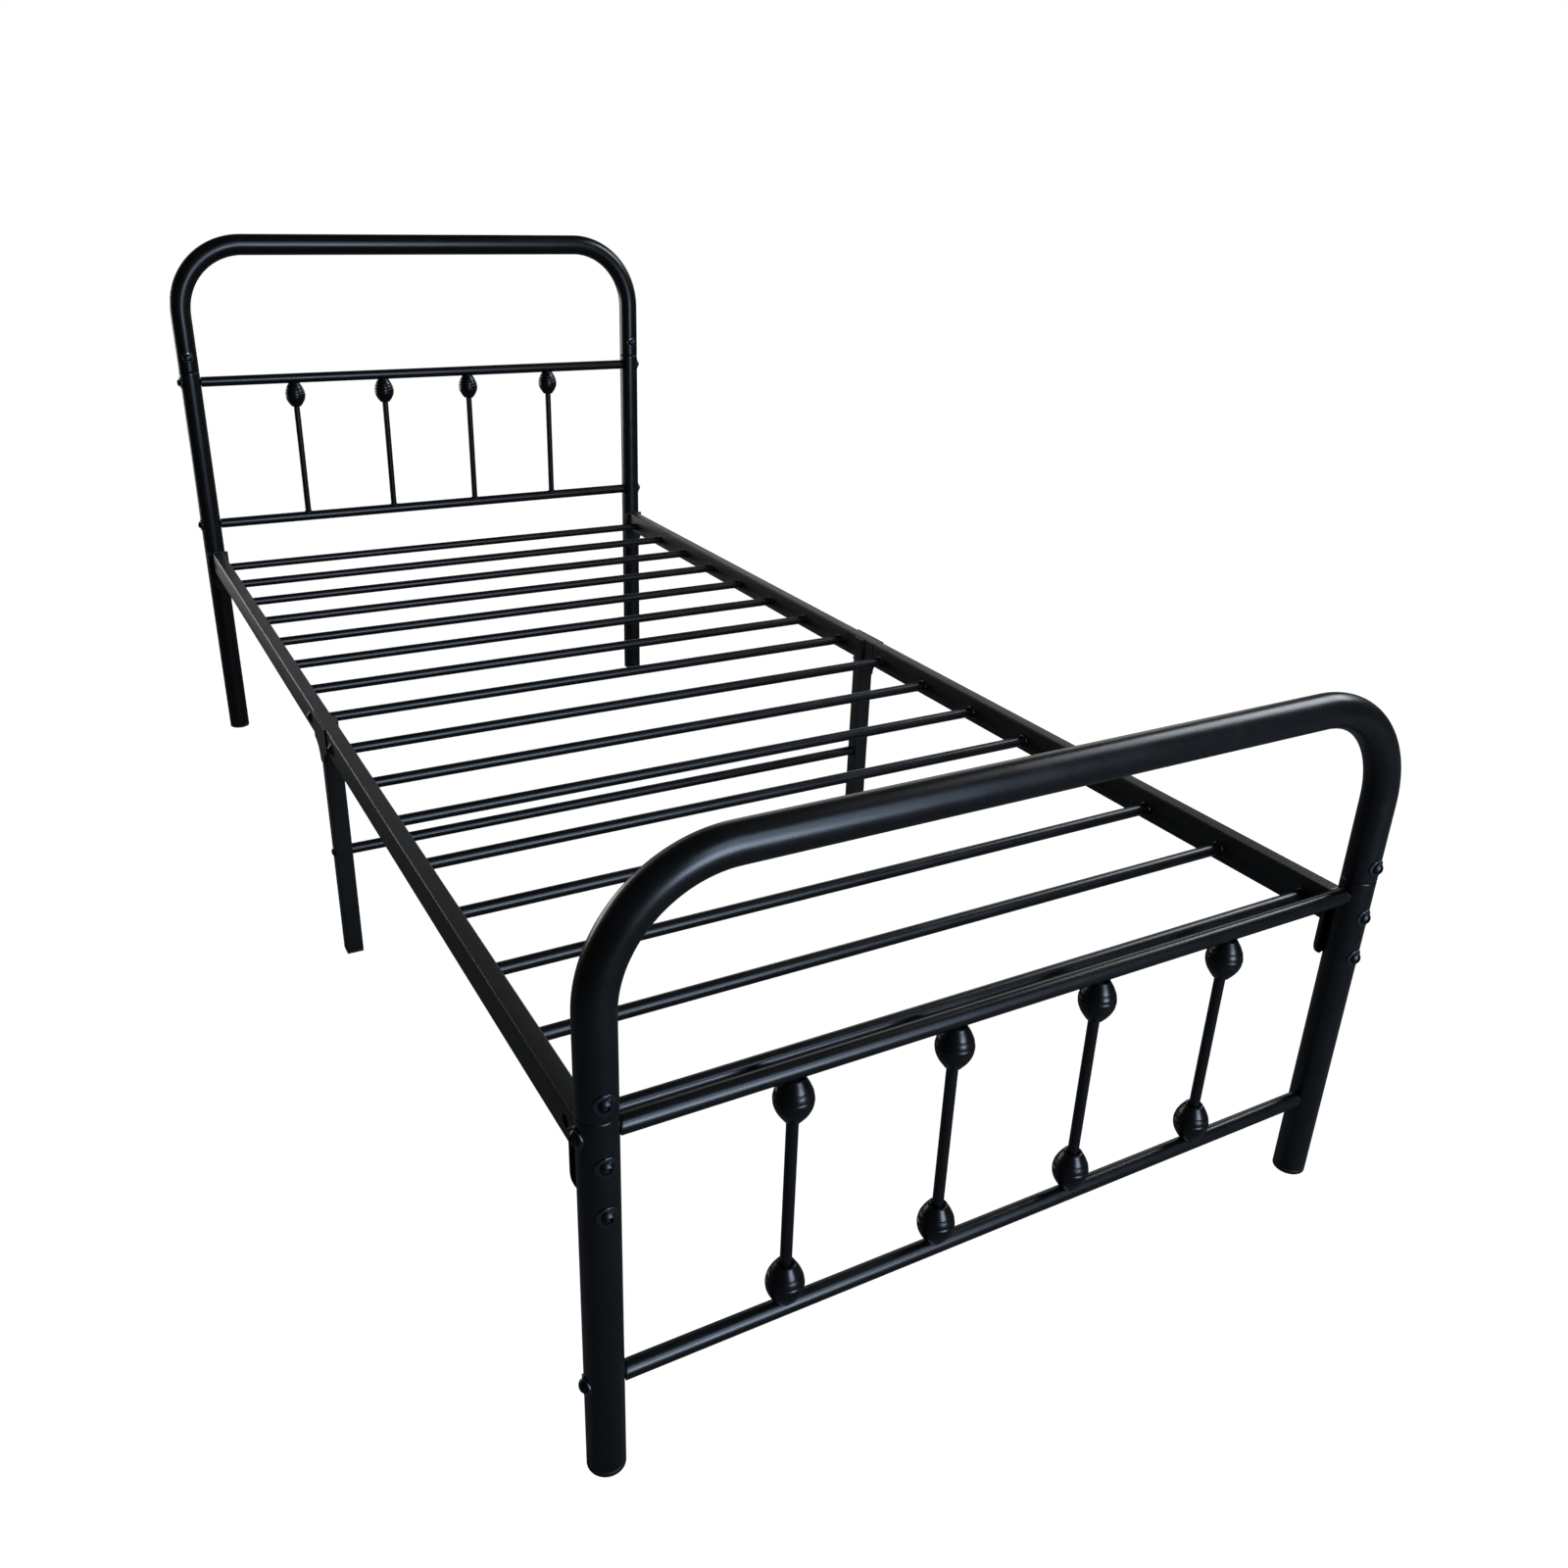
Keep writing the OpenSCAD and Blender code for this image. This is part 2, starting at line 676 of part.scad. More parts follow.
footboard_lower_bead(4);  // footboard_lower_bead_4
rail(-1, 1);  // head_left_rail
rail(1, 1);  // head_right_rail
rail(-1, -1);  // foot_left_rail
rail(1, -1);  // foot_right_rail
slat(1);  // slat_01
slat(2);  // slat_02
slat(3);  // slat_03
slat(4);  // slat_04
slat(5);  // slat_05
slat(6);  // slat_06
slat(7);  // slat_07
slat(8);  // slat_08
slat(9);  // slat_09
slat(10);  // slat_10
slat(11);  // slat_11
slat(12);  // slat_12
slat(13);  // slat_13
slat(14);  // slat_14
slat(15);  // slat_15
slat(16);  // slat_16
side_leg(-1);  // middle_left_leg
side_leg(1);  // middle_right_leg
middle_stretcher();
post_foot_caps();
middle_leg_foot_caps();
arch_bolts();
crossbar_bolts();
rail_bracket_bolts();
middle_joint_bolts();
bolt_washers();
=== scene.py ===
"""Looks of a single metal bed frame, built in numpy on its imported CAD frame.

Every piece stands for CAD nodes and takes its place from their boxes. Lengths are in metres, +Z is up
and +Y points to the headboard.
"""

import logging
import math
from dataclasses import dataclass, field
from enum import Enum
from functools import cache

import bpy
import numpy as np
from mathutils import Matrix, Vector


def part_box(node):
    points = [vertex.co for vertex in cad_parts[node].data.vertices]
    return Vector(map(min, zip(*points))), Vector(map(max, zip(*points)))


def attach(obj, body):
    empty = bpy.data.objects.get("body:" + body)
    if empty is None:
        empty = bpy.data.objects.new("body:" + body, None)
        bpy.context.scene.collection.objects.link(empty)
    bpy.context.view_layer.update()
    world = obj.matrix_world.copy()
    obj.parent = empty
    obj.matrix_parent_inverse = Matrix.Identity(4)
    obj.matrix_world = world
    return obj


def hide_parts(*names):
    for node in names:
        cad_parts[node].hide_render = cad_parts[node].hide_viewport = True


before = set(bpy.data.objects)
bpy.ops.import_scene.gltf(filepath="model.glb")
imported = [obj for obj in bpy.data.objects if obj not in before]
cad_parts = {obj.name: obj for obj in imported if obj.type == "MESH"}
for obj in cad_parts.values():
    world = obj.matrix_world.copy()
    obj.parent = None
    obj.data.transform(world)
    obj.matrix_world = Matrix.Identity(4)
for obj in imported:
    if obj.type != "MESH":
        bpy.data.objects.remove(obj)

LOG = logging.getLogger("bed_frame")
MM = 0.001
TURN = 2.0 * math.pi
X_AXIS, Y_AXIS, Z_AXIS = np.eye(3)


class End(Enum):
    """The two ends of the bed, with the sign of their Y."""

    HEAD = 1
    FOOT = -1

    @property
    def word(self) -> str:
        """Name of the end in node names, such as "head"."""
        return self.name.lower()


class Side(Enum):
    """The two long sides of the bed, with the sign of their X."""

    LEFT = -1
    RIGHT = 1

    @property
    def word(self) -> str:
        """Name of the side in node names, such as "left"."""
        return self.name.lower()


class Slot(Enum):
    """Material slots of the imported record."""

    TUBE = "tube_coat"
    RAIL = "rail_coat"
    BEAD = "bead_coat"
    PLASTIC = "foot_plastic"
    HARDWARE = "black_hardware"


# ---------------------------------------------------------------- finishes


def linear_rgba(code: str) -> tuple[float, float, float, float]:
    """Turns an sRGB hex colour into linear red, green, blue and alpha.

    Args:
        code: Colour such as "#101214".

    Returns:
        Four linear numbers, with alpha 1.
    """
    raw = np.array([int(code[i : i + 2], 16) for i in (1, 3, 5)]) / 255.0
    lin = np.where(raw <= 0.04045, raw / 12.92, ((raw + 0.055) / 1.055) ** 2.4)
    return (float(lin[0]), float(lin[1]), float(lin[2]), 1.0)


def add_node(
    tree: bpy.types.NodeTree, kind: str, settings: dict | None = None, inputs: dict | None = None
) -> bpy.types.Node:
    """Adds a node, sets its attributes and feeds its inputs.

    Args:
        tree: Node tree that gets the node.
        kind: Type name of the node.
        settings: Attribute names with their values.
        inputs: Input names or numbers, each with a plain value or an output socket to link.

    Returns:
        The new node.
    """
    node = tree.nodes.new(kind)
    for key, value in (settings or {}).items():
        setattr(node, key, value)
    for key, value in (inputs or {}).items():
        if isinstance(value, bpy.types.NodeSocket):
            tree.links.new(value, node.inputs[key])
        else:
            node.inputs[key].default_value = value
    return node


def empty_tree(owner: bpy.types.Material | bpy.types.World) -> bpy.types.NodeTree:
    """Turns on a material's or a world's nodes and clears them.

    Args:
        owner: The material or world.

    Returns:
        The empty node tree.
    """
    owner.use_nodes = True
    owner.node_tree.nodes.clear()
    return owner.node_tree


@dataclass(frozen=True)
class SprayedFinish:
    """A coat or surface with a slow cloud of colour and gloss, a soft relief and a fine grain.

    The cloud is noise about cloud_mm across, the relief is noise about relief_mm across and the grain
    about grain_mm across. Heights are real, in millimetres.
    """

    name: str
    slot: Slot
    dark: str
    light: str
    roughness: float
    roughness_spread: float = 0.05
    cloud_mm: float = 55.0
    relief_mm: float = 3.0
    relief_height_mm: float = 0.03
    grain_mm: float = 0.6
    grain_height_mm: float = 0.012
    metallic: float = 0.0

    @cache
    def material(self) -> bpy.types.Material:
        """Builds the node material once, with every pattern on Object coordinates.

        Returns:
            The finished material.
        """
        material = bpy.data.materials.new(self.name)
        tree = empty_tree(material)
        place = add_node(tree, "ShaderNodeTexCoord").outputs["Object"]
        cloud, relief, grain = (
            add_node(
                tree,
                "ShaderNodeTexNoise",
                inputs={"Vector": place, "Scale": 1.0 / (size * MM), "Detail": detail, "Roughness": 0.6},
            ).outputs["Fac"]
            for size, detail in ((self.cloud_mm, 4.0), (self.relief_mm, 1.0), (self.grain_mm, 2.0))
        )
        blend = add_node(tree, "ShaderNodeMath", {"operation": "ADD"}, {0: cloud, 1: grain}).outputs[0]
        spread = {"Value": blend, "From Min": 0.7, "From Max": 1.3}
        share = add_node(tree, "ShaderNodeMapRange", inputs=spread).outputs["Result"]
        spread["To Min"] = self.roughness - self.roughness_spread
        spread["To Max"] = self.roughness + self.roughness_spread
        rough = add_node(tree, "ShaderNodeMapRange", inputs=spread).outputs["Result"]
        shades = {0: share, 6: linear_rgba(self.dark), 7: linear_rgba(self.light)}
        colour = add_node(tree, "ShaderNodeMix", {"data_type": "RGBA"}, shades).outputs[2]
        bump = {"Height": relief, "Distance": self.relief_height_mm * MM}
        soft = add_node(tree, "ShaderNodeBump", inputs=bump).outputs["Normal"]
        bump = {"Height": grain, "Distance": self.grain_height_mm * MM, "Normal": soft}
        fine = add_node(tree, "ShaderNodeBump", inputs=bump).outputs["Normal"]
        coat = {"Base Color": colour, "Roughness": rough, "Metallic": self.metallic, "Normal": fine}
        shader = add_node(tree, "ShaderNodeBsdfPrincipled", inputs=coat).outputs["BSDF"]
        add_node(tree, "ShaderNodeOutputMaterial", inputs={"Surface": shader})
        return material


# Polyester powder coat, baked on round steel tube: satin black with wide soft highlights and a faint
# orange peel. Its real grain is about 0.15 mm, too fine to show, so it is drawn four times coarser.
TUBE_COAT = SprayedFinish("polyester_powder_coat_on_tube", Slot.TUBE, "#080808", "#101011", 0.30)
# The same powder on the flat walls of the box section: a little rougher, so a flat face turns an even
# dark grey wherever it faces the light.
RAIL_COAT = SprayedFinish(
    "polyester_powder_coat_on_box_section", Slot.RAIL, "#0b0c0b", "#131412", 0.44,
    relief_mm=4.0, relief_height_mm=0.025
)
# Liquid black enamel on the cast beads: smoother than the powder, with small tight highlights.
BEAD_ENAMEL = SprayedFinish(
    "sprayed_enamel_on_cast_beads", Slot.BEAD, "#050506", "#0b0b0c", 0.29, 0.03,
    relief_mm=2.2, relief_height_mm=0.012
)
# Weld runs under the powder: the coat pools between the ripples, so the runs look a touch glossier.
WELD_COAT = SprayedFinish(
    "powder_coat_over_weld_run", Slot.RAIL, "#080808", "#111112", 0.32, relief_mm=1.6, relief_height_mm=0.05
)
# Black oxide on steel bolts and washers: a dark metal gleam that is brightest on edges and sockets.
BLACK_OXIDE = SprayedFinish(
    "black_oxide_on_rolled_steel", Slot.HARDWARE, "#323438", "#484a4f", 0.36, 0.07, cloud_mm=6.0,
    relief_mm=1.5, relief_height_mm=0.006, grain_mm=0.4, grain_height_mm=0.006, metallic=1.0,
)
# Black zinc plate on the pressed washers: lighter and glossier than the bolts, so that each rim draws a
# thin bright arc round its bolt.
BLACK_ZINC = SprayedFinish(
    "black_zinc_plate_on_pressed_washers", Slot.HARDWARE, "#55585e", "#6c7077", 0.27, cloud_mm=6.0,
    relief_mm=1.5, relief_height_mm=0.005, grain_mm=0.4, grain_height_mm=0.004, metallic=1.0,
)
# Injection-moulded polyethylene feet: matt black with a fine spark-eroded texture.
MOULDED_PLASTIC = SprayedFinish(
    "moulded_polyethylene", Slot.PLASTIC, "#0b0b0c", "#131314", 0.58,
    relief_mm=1.4, relief_height_mm=0.02
)


# ---------------------------------------------------------------- surfaces


def columns(*parts: np.ndarray | float) -> np.ndarray:
    """Joins coordinates into points: arrays and single numbers are first stretched to one shape."""
    return np.stack(np.broadcast_arrays(*parts), axis=-1)


def ring_angles(count: int) -> np.ndarray:
    """Even angles round a turn in radians, without the closing one."""
    return np.arange(count) * (TURN / count)


def rounded_rectangle(width: float, height: float, radius: float, per_corner: int = 7) -> np.ndarray:
    """Outline of a rectangle with round corners: four quarter circles joined by straight sides.

    Args:
        width: Size along the first axis.
        height: Size along the second axis.
        radius: Corner radius.
        per_corner: Points on each corner.

    Returns:
        Outline points, shape (4 * per_corner, 2), anticlockwise.
    """
    quarter = np.linspace(0.0, math.pi / 2, per_corner)
    turn = (np.arange(4)[:, None] * (math.pi / 2) + quarter[None, :]).ravel()
    centre = np.repeat(np.array([[1, 1], [-1, 1], [-1, -1], [1, -1]], float), per_corner, axis=0)
    corner = radius * columns(np.cos(turn), np.sin(turn))
    return centre * np.array([width / 2 - radius, height / 2 - radius]) + corner


def hexagon_radius(flats: float, angles: np.ndarray) -> np.ndarray:
    """Distance to a hexagon's side: half the flats over the cosine of the angle to a side's middle."""
    return (flats / 2) / np.cos((angles % (TURN / 6)) - TURN / 12)


def inset(outline: np.ndarray, depth: float) -> np.ndarray:
    """Moves each point of an anticlockwise outline inwards, square to the chord of its neighbours.

    Args:
        outline: Outline points, shape (n, 2).
        depth: How far to move.

    Returns:
        The moved outline.
    """
    chord = np.roll(outline, -1, axis=0) - np.roll(outline, 1, axis=0)
    chord /= np.maximum(np.linalg.norm(chord, axis=1, keepdims=True), 1e-12)
    return outline + depth * columns(-chord[:, 1], chord[:, 0])


@dataclass
class Shell:
    """Points and faces of one piece, gathered from closed surfaces."""

    points: list[np.ndarray] = field(default_factory=list)
    corners: list[np.ndarray] = field(default_factory=list)
    sizes: list[np.ndarray] = field(default_factory=list)
    count: int = 0

    def add_rings(self, rings: np.ndarray, loop: bool = False) -> "Shell":
        """Joins rings of points into a closed surface, facing outwards.

        Neighbouring rings are joined by four-sided faces. A loop also joins the last ring to the first;
        otherwise each end is closed by a fan to the ring's middle. The sign of the enclosed volume says
        whether the faces need turning round.

        Args:
            rings: Points, shape (rings, points on a ring, 3).
            loop: Whether the rings close on themselves, as round a wall.

        Returns:
            This shell.
        """
        rows, around = rings.shape[:2]
        points = rings.reshape(-1, 3)
        steps = np.arange(rows if loop else rows - 1)[:, None]
        here = np.arange(around)[None, :]
        following = (here + 1) % around
        upper = (steps + 1) % rows
        low, high = steps * around, upper * around
        quads = columns(low + here, low + following, high + following, high + here).reshape(-1, 4)
        fans = np.zeros((0, 3), int)
        if not loop:
            points = np.vstack([points, rings[0].mean(0), rings[-1].mean(0)])
            first, last, base = rows * around, rows * around + 1, (rows - 1) * around
            here, following = here[0], following[0]
            fans = np.vstack(
                [columns(first, following, here), columns(last, base + here, base + following)]
            )
        triangles = np.vstack([quads[:, :3], quads[:, [0, 2, 3]], fans])
        a, b, c = (points[triangles[:, k]] - points.mean(0) for k in range(3))
        if np.einsum("ij,ij->", a, np.cross(b, c)) < 0:
            quads, fans = quads[:, ::-1], fans[:, ::-1]
        self.points.append(points)
        self.corners.append(np.concatenate([quads.ravel(), fans.ravel()]) + self.count)
        self.sizes.append(np.concatenate([np.full(len(quads), 4), np.full(len(fans), 3)]))
        self.count += len(points)
        return self

    def add_lathe(
        self,
        profile: np.ndarray,
        origin: np.ndarray,
        axis: np.ndarray,
        around: int = 48,
        loop: bool = False,
        radius_share: np.ndarray | None = None,
    ) -> "Shell":
        """Turns a profile about an axis: each point (radius, height) sweeps a circle.

        Args:
            profile: Points (radius, height), shape (n, 2).
            origin: Where the axis starts.
            axis: Unit direction of the axis.
            around: Points on each circle.
            loop: Whether the profile closes on itself.
            radius_share: Optional factors on the radius, shape (n, around).

        Returns:
            This shell.
        """
        side = np.cross(axis, Z_AXIS if abs(axis[2]) < 0.9 else X_AXIS)
        side /= np.linalg.norm(side)
        other = np.cross(axis, side)
        turn = ring_angles(around)
        radius = profile[:, :1] * (np.ones((1, around)) if radius_share is None else radius_share)
        rings = (
            origin
            + radius[..., None] * (np.cos(turn)[None, :, None] * side + np.sin(turn)[None, :, None] * other)
            + profile[:, 1][:, None, None] * axis
        )
        return self.add_rings(rings, loop)

    def add_prism(
        self,
        outline: np.ndarray,
        origin: np.ndarray,
        across: np.ndarray,
        up: np.ndarray,
        length: float,
        bevel: float = 0.4 * MM,
    ) -> "Shell":
        """Carries an outline along the normal of its plane, with rounded end edges.

        Args:
            outline: Points in the plane, shape (n, 2), anticlockwise.
            origin: The outline's origin at the near end.
            across: Direction of the outline's first axis.
            up: Direction of the outline's second axis.
            length: Length along across x up.
            bevel: Size of the rounded edge at both ends.

        Returns:
            This shell.
        """
        along = np.cross(across, up)
        stops = ((0.0, 1.0), (0.3, 0.3), (1.0, 0.0))
        near = [(bevel * s, bevel * d) for s, d in stops]
        far = [(length - bevel * s, bevel * d) for s, d in reversed(stops)]
        rings = []
        for distance, depth in near + far:
            flat = inset(outline, depth)
            rings.append(origin + flat[:, :1] * across + flat[:, 1:] * up + distance * along)
        return self.add_rings(np.array(rings))

    def add_weld(
        self,
        path: np.ndarray,
        normal: np.ndarray,
        radius: float,
        ripple: float,
        rng: np.random.Generator,
        around: int = 8,
        closed: bool = True,
    ) -> "Shell":
        """Lays a weld run along a flat path: a round bead whose radius swells once for each ripple,
        with a small random change from ripple to ripple.

        Args:
            path: Points along the run, evenly spaced, shape (n, 3).
            normal: Unit normal of the path's plane.
            radius: Mean radius of the bead.
            ripple: Length of one ripple.
            rng: Source of the random change.
            around: Points round the bead.
            closed: Whether the run comes back to its start.

        Returns:
            This shell.
        """
        ahead = (np.roll(path, -1, 0) - np.roll(path, 1, 0)) if closed else np.gradient(path, axis=0)
        ahead /= np.linalg.norm(ahead, axis=1, keepdims=True)
        beside = np.cross(ahead, normal)
        step = np.linalg.norm(np.diff(path, axis=0), axis=1)
        travel = np.concatenate([[0.0], np.cumsum(step)])
        ripples = max(3, round(float(travel[-1]) / ripple))
        phase = travel / (travel[-1] + (step.mean() if closed else 0.0)) * ripples
        wobble = rng.uniform(-0.10, 0.10, ripples + 1)[np.floor(phase).astype(int) % ripples]
        size = radius * (1.0 + 0.16 * np.abs(np.sin(math.pi * phase)) + wobble)
        if not closed:
            size *= np.minimum(1.0, 0.35 + 4.0 * np.minimum(phase, ripples - phase) / ripples)
        turn = ring_angles(around)
        rings = path[:, None, :] + size[:, None, None] * (
            np.cos(turn)[None, :, None] * beside[:, None, :] + np.sin(turn)[None, :, None] * normal
        )
        return self.add_rings(rings, loop=closed)

    def build(
        self,
        name: str,
        finish: SprayedFinish,
        replaced: tuple[str, ...] = (),
        slot: Slot | None = None,
        sharp_degrees: float = 35.0,
    ) -> bpy.types.Object:
        """Makes the object, gives it its finish and lets it ride on the frame.

        Args:
            name: Name of the piece.
            finish: Finish of the piece.
            replaced: CAD nodes that the piece stands for.
            slot: Record slot, if it isn't the finish's own; not used.
            sharp_degrees: Edges that turn more than this stay sharp.

        Returns:
            The new object.
        """
        points = np.vstack(self.points)
        corners = np.concatenate(self.corners)
        sizes = np.concatenate(self.sizes)
        mesh = bpy.data.meshes.new(name)
        mesh.vertices.add(len(points))
        mesh.vertices.foreach_set("co", points.astype(np.float32).ravel())
        mesh.loops.add(len(corners))
        mesh.loops.foreach_set("vertex_index", corners.astype(np.int32))
        mesh.polygons.add(len(sizes))
        mesh.polygons.foreach_set("loop_start", (np.cumsum(sizes) - sizes).astype(np.int32))
        mesh.update(calc_edges=True)
        mesh.validate()
        mesh.shade_smooth()
        mesh.set_sharp_from_angle(angle=math.radians(sharp_degrees))
        mesh.materials.append(finish.material())
        piece = bpy.data.objects.new(name, mesh)
        bpy.context.scene.collection.objects.link(piece)
        slot = slot or finish.slot
        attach(piece, "root")
        if replaced:
            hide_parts(*replaced)
        LOG.info("%s: %d points, stands for %s", name, len(points), ", ".join(replaced) or "nothing")
        return piece


def drill(
    piece: bpy.types.Object, origin: np.ndarray, axis: np.ndarray, radius: float, length: float
) -> None:
    """Cuts a round hole through a piece and applies the cut to its mesh.

    Args:
        piece: Piece to cut.
        origin: Start of the hole's axis.
        axis: Unit direction of the axis.
        radius: Radius of the hole.
        length: Length of the cutter.
    """
    turn = ring_angles(40)
    side = np.cross(axis, Z_AXIS)
    other = np.cross(axis, side)
    ring = origin + radius * (np.cos(turn)[:, None] * side + np.sin(turn)[:, None] * other)
    shell = Shell().add_rings(np.stack([ring, ring + length * axis]))
    mesh = bpy.data.meshes.new("drill")
    points, corners, sizes = shell.points[0], shell.corners[0], shell.sizes[0]
    starts = np.cumsum(sizes) - sizes
    mesh.from_pydata(points.tolist(), [], [corners[s : s + n].tolist() for s, n in zip(starts, sizes)])
    cutter = bpy.data.objects.new("drill", mesh)
    bpy.context.scene.collection.objects.link(cutter)
    cut = piece.modifiers.new("drill", "BOOLEAN")
    cut.operation, cut.solver, cut.object = "DIFFERENCE", "EXACT", cutter
    bpy.context.view_layer.update()
    drilled = bpy.data.meshes.new_from_object(piece.evaluated_get(bpy.context.evaluated_depsgraph_get()))
    piece.modifiers.clear()
    old, piece.data = piece.data, drilled
    bpy.data.meshes.remove(old)
    bpy.data.objects.remove(cutter)
    bpy.data.meshes.remove(mesh)
    drilled.name = piece.name
    drilled.shade_smooth()
    drilled.set_sharp_from_angle(angle=math.radians(35.0))


# ---------------------------------------------------------------- sizes from the CAD frame


@dataclass(frozen=True)
class NodeBox:
    """Box of a CAD node."""

    low: np.ndarray
    high: np.ndarray

    @classmethod
    def of(cls, node: str) -> "NodeBox":
        """Reads a node's box."""
        low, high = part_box(node)
        return cls(np.array(low), np.array(high))

    @property
    def middle(self) -> np.ndarray:
        """Centre of the box."""
        return (self.low + self.high) / 2

    @property
    def size(self) -> np.ndarray:
        """Edge lengths of the box."""
        return self.high - self.low


# ---------------------------------------------------------------- head and foot boards


@dataclass
class EndBoard:
    """Headboard or footboard: two posts, an arch, two crossbars, four rods and their beads."""

    end: End
    rng: np.random.Generator
    bend_radius: float = 126 * MM
    wall: float = 1.2 * MM
    shoulder: float = 2.0 * MM
    neck_gap: float = 0.7 * MM
    neck_show: float = 20 * MM
    bar_gap: float = 0.7 * MM
    seam_edge: float = 0.8 * MM
    guard_mm: float = 3.0
    around: int = 72

    def __post_init__(self) -> None:
        """Reads the board's levels and radii from its CAD nodes."""
        self.word = f"{self.end.word}board"
        arch = NodeBox.of(f"{self.word}_arch")
        post = NodeBox.of(f"{self.word}_right_post")
        self.post_x = float(post.middle[0])
        self.y = float(arch.middle[1])
        self.radius = float(post.size[0]) / 2
        self.post_low = float(post.low[2])
        self.seam = float(arch.low[2])
        self.crown = float(arch.high[2]) - self.radius
        self.bars = {
            level: NodeBox.of(f"{self.word}_{level}_crossbar") for level in ("upper", "lower")
        }
        self.bar_radius = float(self.bars["upper"].size[1]) / 2

    def build(self) -> None:
        """Builds and dresses the whole board."""
        self.build_arch()
        for side in Side:
            self.build_post(side)
        for level in self.bars:
            self.build_crossbar(level)
        self.build_rods()
        self.build_beads()

    def build_arch(self) -> None:
        """Bent tube: an outer and an inner circle carried up one leg, round two quarter bends and down
        the other leg, and joined at both open ends by a small rounded lip.
        """
        bend = np.linspace(0.0, math.pi / 2, 37)
        bend_x = self.post_x - self.bend_radius
        bend_z = self.crown - self.bend_radius
        right = columns(bend_x + self.bend_radius * np.cos(bend), bend_z + self.bend_radius * np.sin(bend))
        rise = np.array([0.0, 0.3 * self.seam_edge, self.seam_edge, self.seam_edge + self.guard_mm * MM])
        half = np.vstack([columns(self.post_x, self.seam + rise), right])
        path = np.vstack([half, half[::-1] * np.array([-1.0, 1.0])])
        angle = np.concatenate([np.zeros(4), bend])
        angle = np.concatenate([angle, math.pi - angle[::-1]])
        lip = np.zeros(len(path))
        lip[:3] = [self.seam_edge, 0.3 * self.seam_edge, 0.0]
        lip[-3:] = lip[:3][::-1]
        turn = ring_angles(self.around)
        outward = columns(np.cos(angle), 0.0, np.sin(angle))
        centre = columns(path[:, 0], self.y, path[:, 1])
        circle = np.cos(turn)[None, :, None] * outward[:, None, :] + np.sin(turn)[None, :, None] * Y_AXIS
        outer = centre[:, None, :] + (self.radius - lip)[:, None, None] * circle
        inner = centre[:, None, :] + (self.radius - self.wall) * circle
        Shell().add_rings(np.concatenate([outer, inner[::-1]]), loop=True).build(
            f"{self.word}_arch_tube", TUBE_COAT, (f"{self.word}_arch",)
        )

    def build_post(self, side: Side) -> None:
        """Post turned about its axis: plain tube, a rounded shoulder under the seam, and the reduced
        neck that goes up inside the arch.

        Args:
            side: Which post.
        """
        edge = self.shoulder
        neck = self.radius - self.neck_gap - self.wall
        turn = np.linspace(0.0, math.pi / 2, 6)
        round_over = columns(
            self.radius - edge + edge * np.cos(turn), self.seam - edge + edge * np.sin(turn)
        )
        profile = np.vstack(
            [
                [self.radius - 0.6 * MM, self.post_low],
                [self.radius - 0.15 * MM, self.post_low + 0.2 * MM],
                [self.radius, self.post_low + 0.7 * MM],
                [self.radius, self.post_low + 0.7 * MM + self.guard_mm * MM],
                [self.radius, self.seam - edge - self.guard_mm * MM],
                round_over,
                [neck, self.seam + 0.2 * MM],
                [neck, self.seam + self.neck_show],
                [neck - 1.0 * MM, self.seam + self.neck_show + 1.0 * MM],
            ]
        )
        name = f"{self.word}_{side.word}_post"
        Shell().add_lathe(
            profile, np.array([side.value * self.post_x, self.y, 0.0]), Z_AXIS, self.around
        ).build(f"{name}_tube", TUBE_COAT, (name,))

    def bar_end(self, offset: np.ndarray) -> np.ndarray:
        """X where a crossbar stops against the round post, at an offset from the post's axis along Y."""
        reach = self.radius + self.bar_gap
        return self.post_x - np.sqrt(reach**2 - offset**2)

    def build_crossbar(self, level: str) -> None:
        """Crossbar along X, its two ends following the round posts, with a softened lip. A ring a little
        way in keeps the shading of the long faces square to the bar.

        Args:
            level: "upper" or "lower".
        """
        box = self.bars[level]
        turn = ring_angles(48)
        rings = []
        for sign, back, inset_by in (
            (-1, 0.0, 0.7), (-1, 0.15, 0.25), (-1, 0.7, 0.0), (-1, self.guard_mm, 0.0),
            (1, self.guard_mm, 0.0), (1, 0.7, 0.0), (1, 0.15, 0.25), (1, 0.0, 0.7),
        ):
            radius = self.bar_radius - inset_by * MM
            y = radius * np.sin(turn)
            x = sign * (self.bar_end(y) - back * MM)
            rings.append(columns(x, self.y + y, box.middle[2] + radius * np.cos(turn)))
        name = f"{self.word}_{level}_crossbar"
        Shell().add_rings(np.array(rings)).build(f"{name}_tube", TUBE_COAT, (name,))

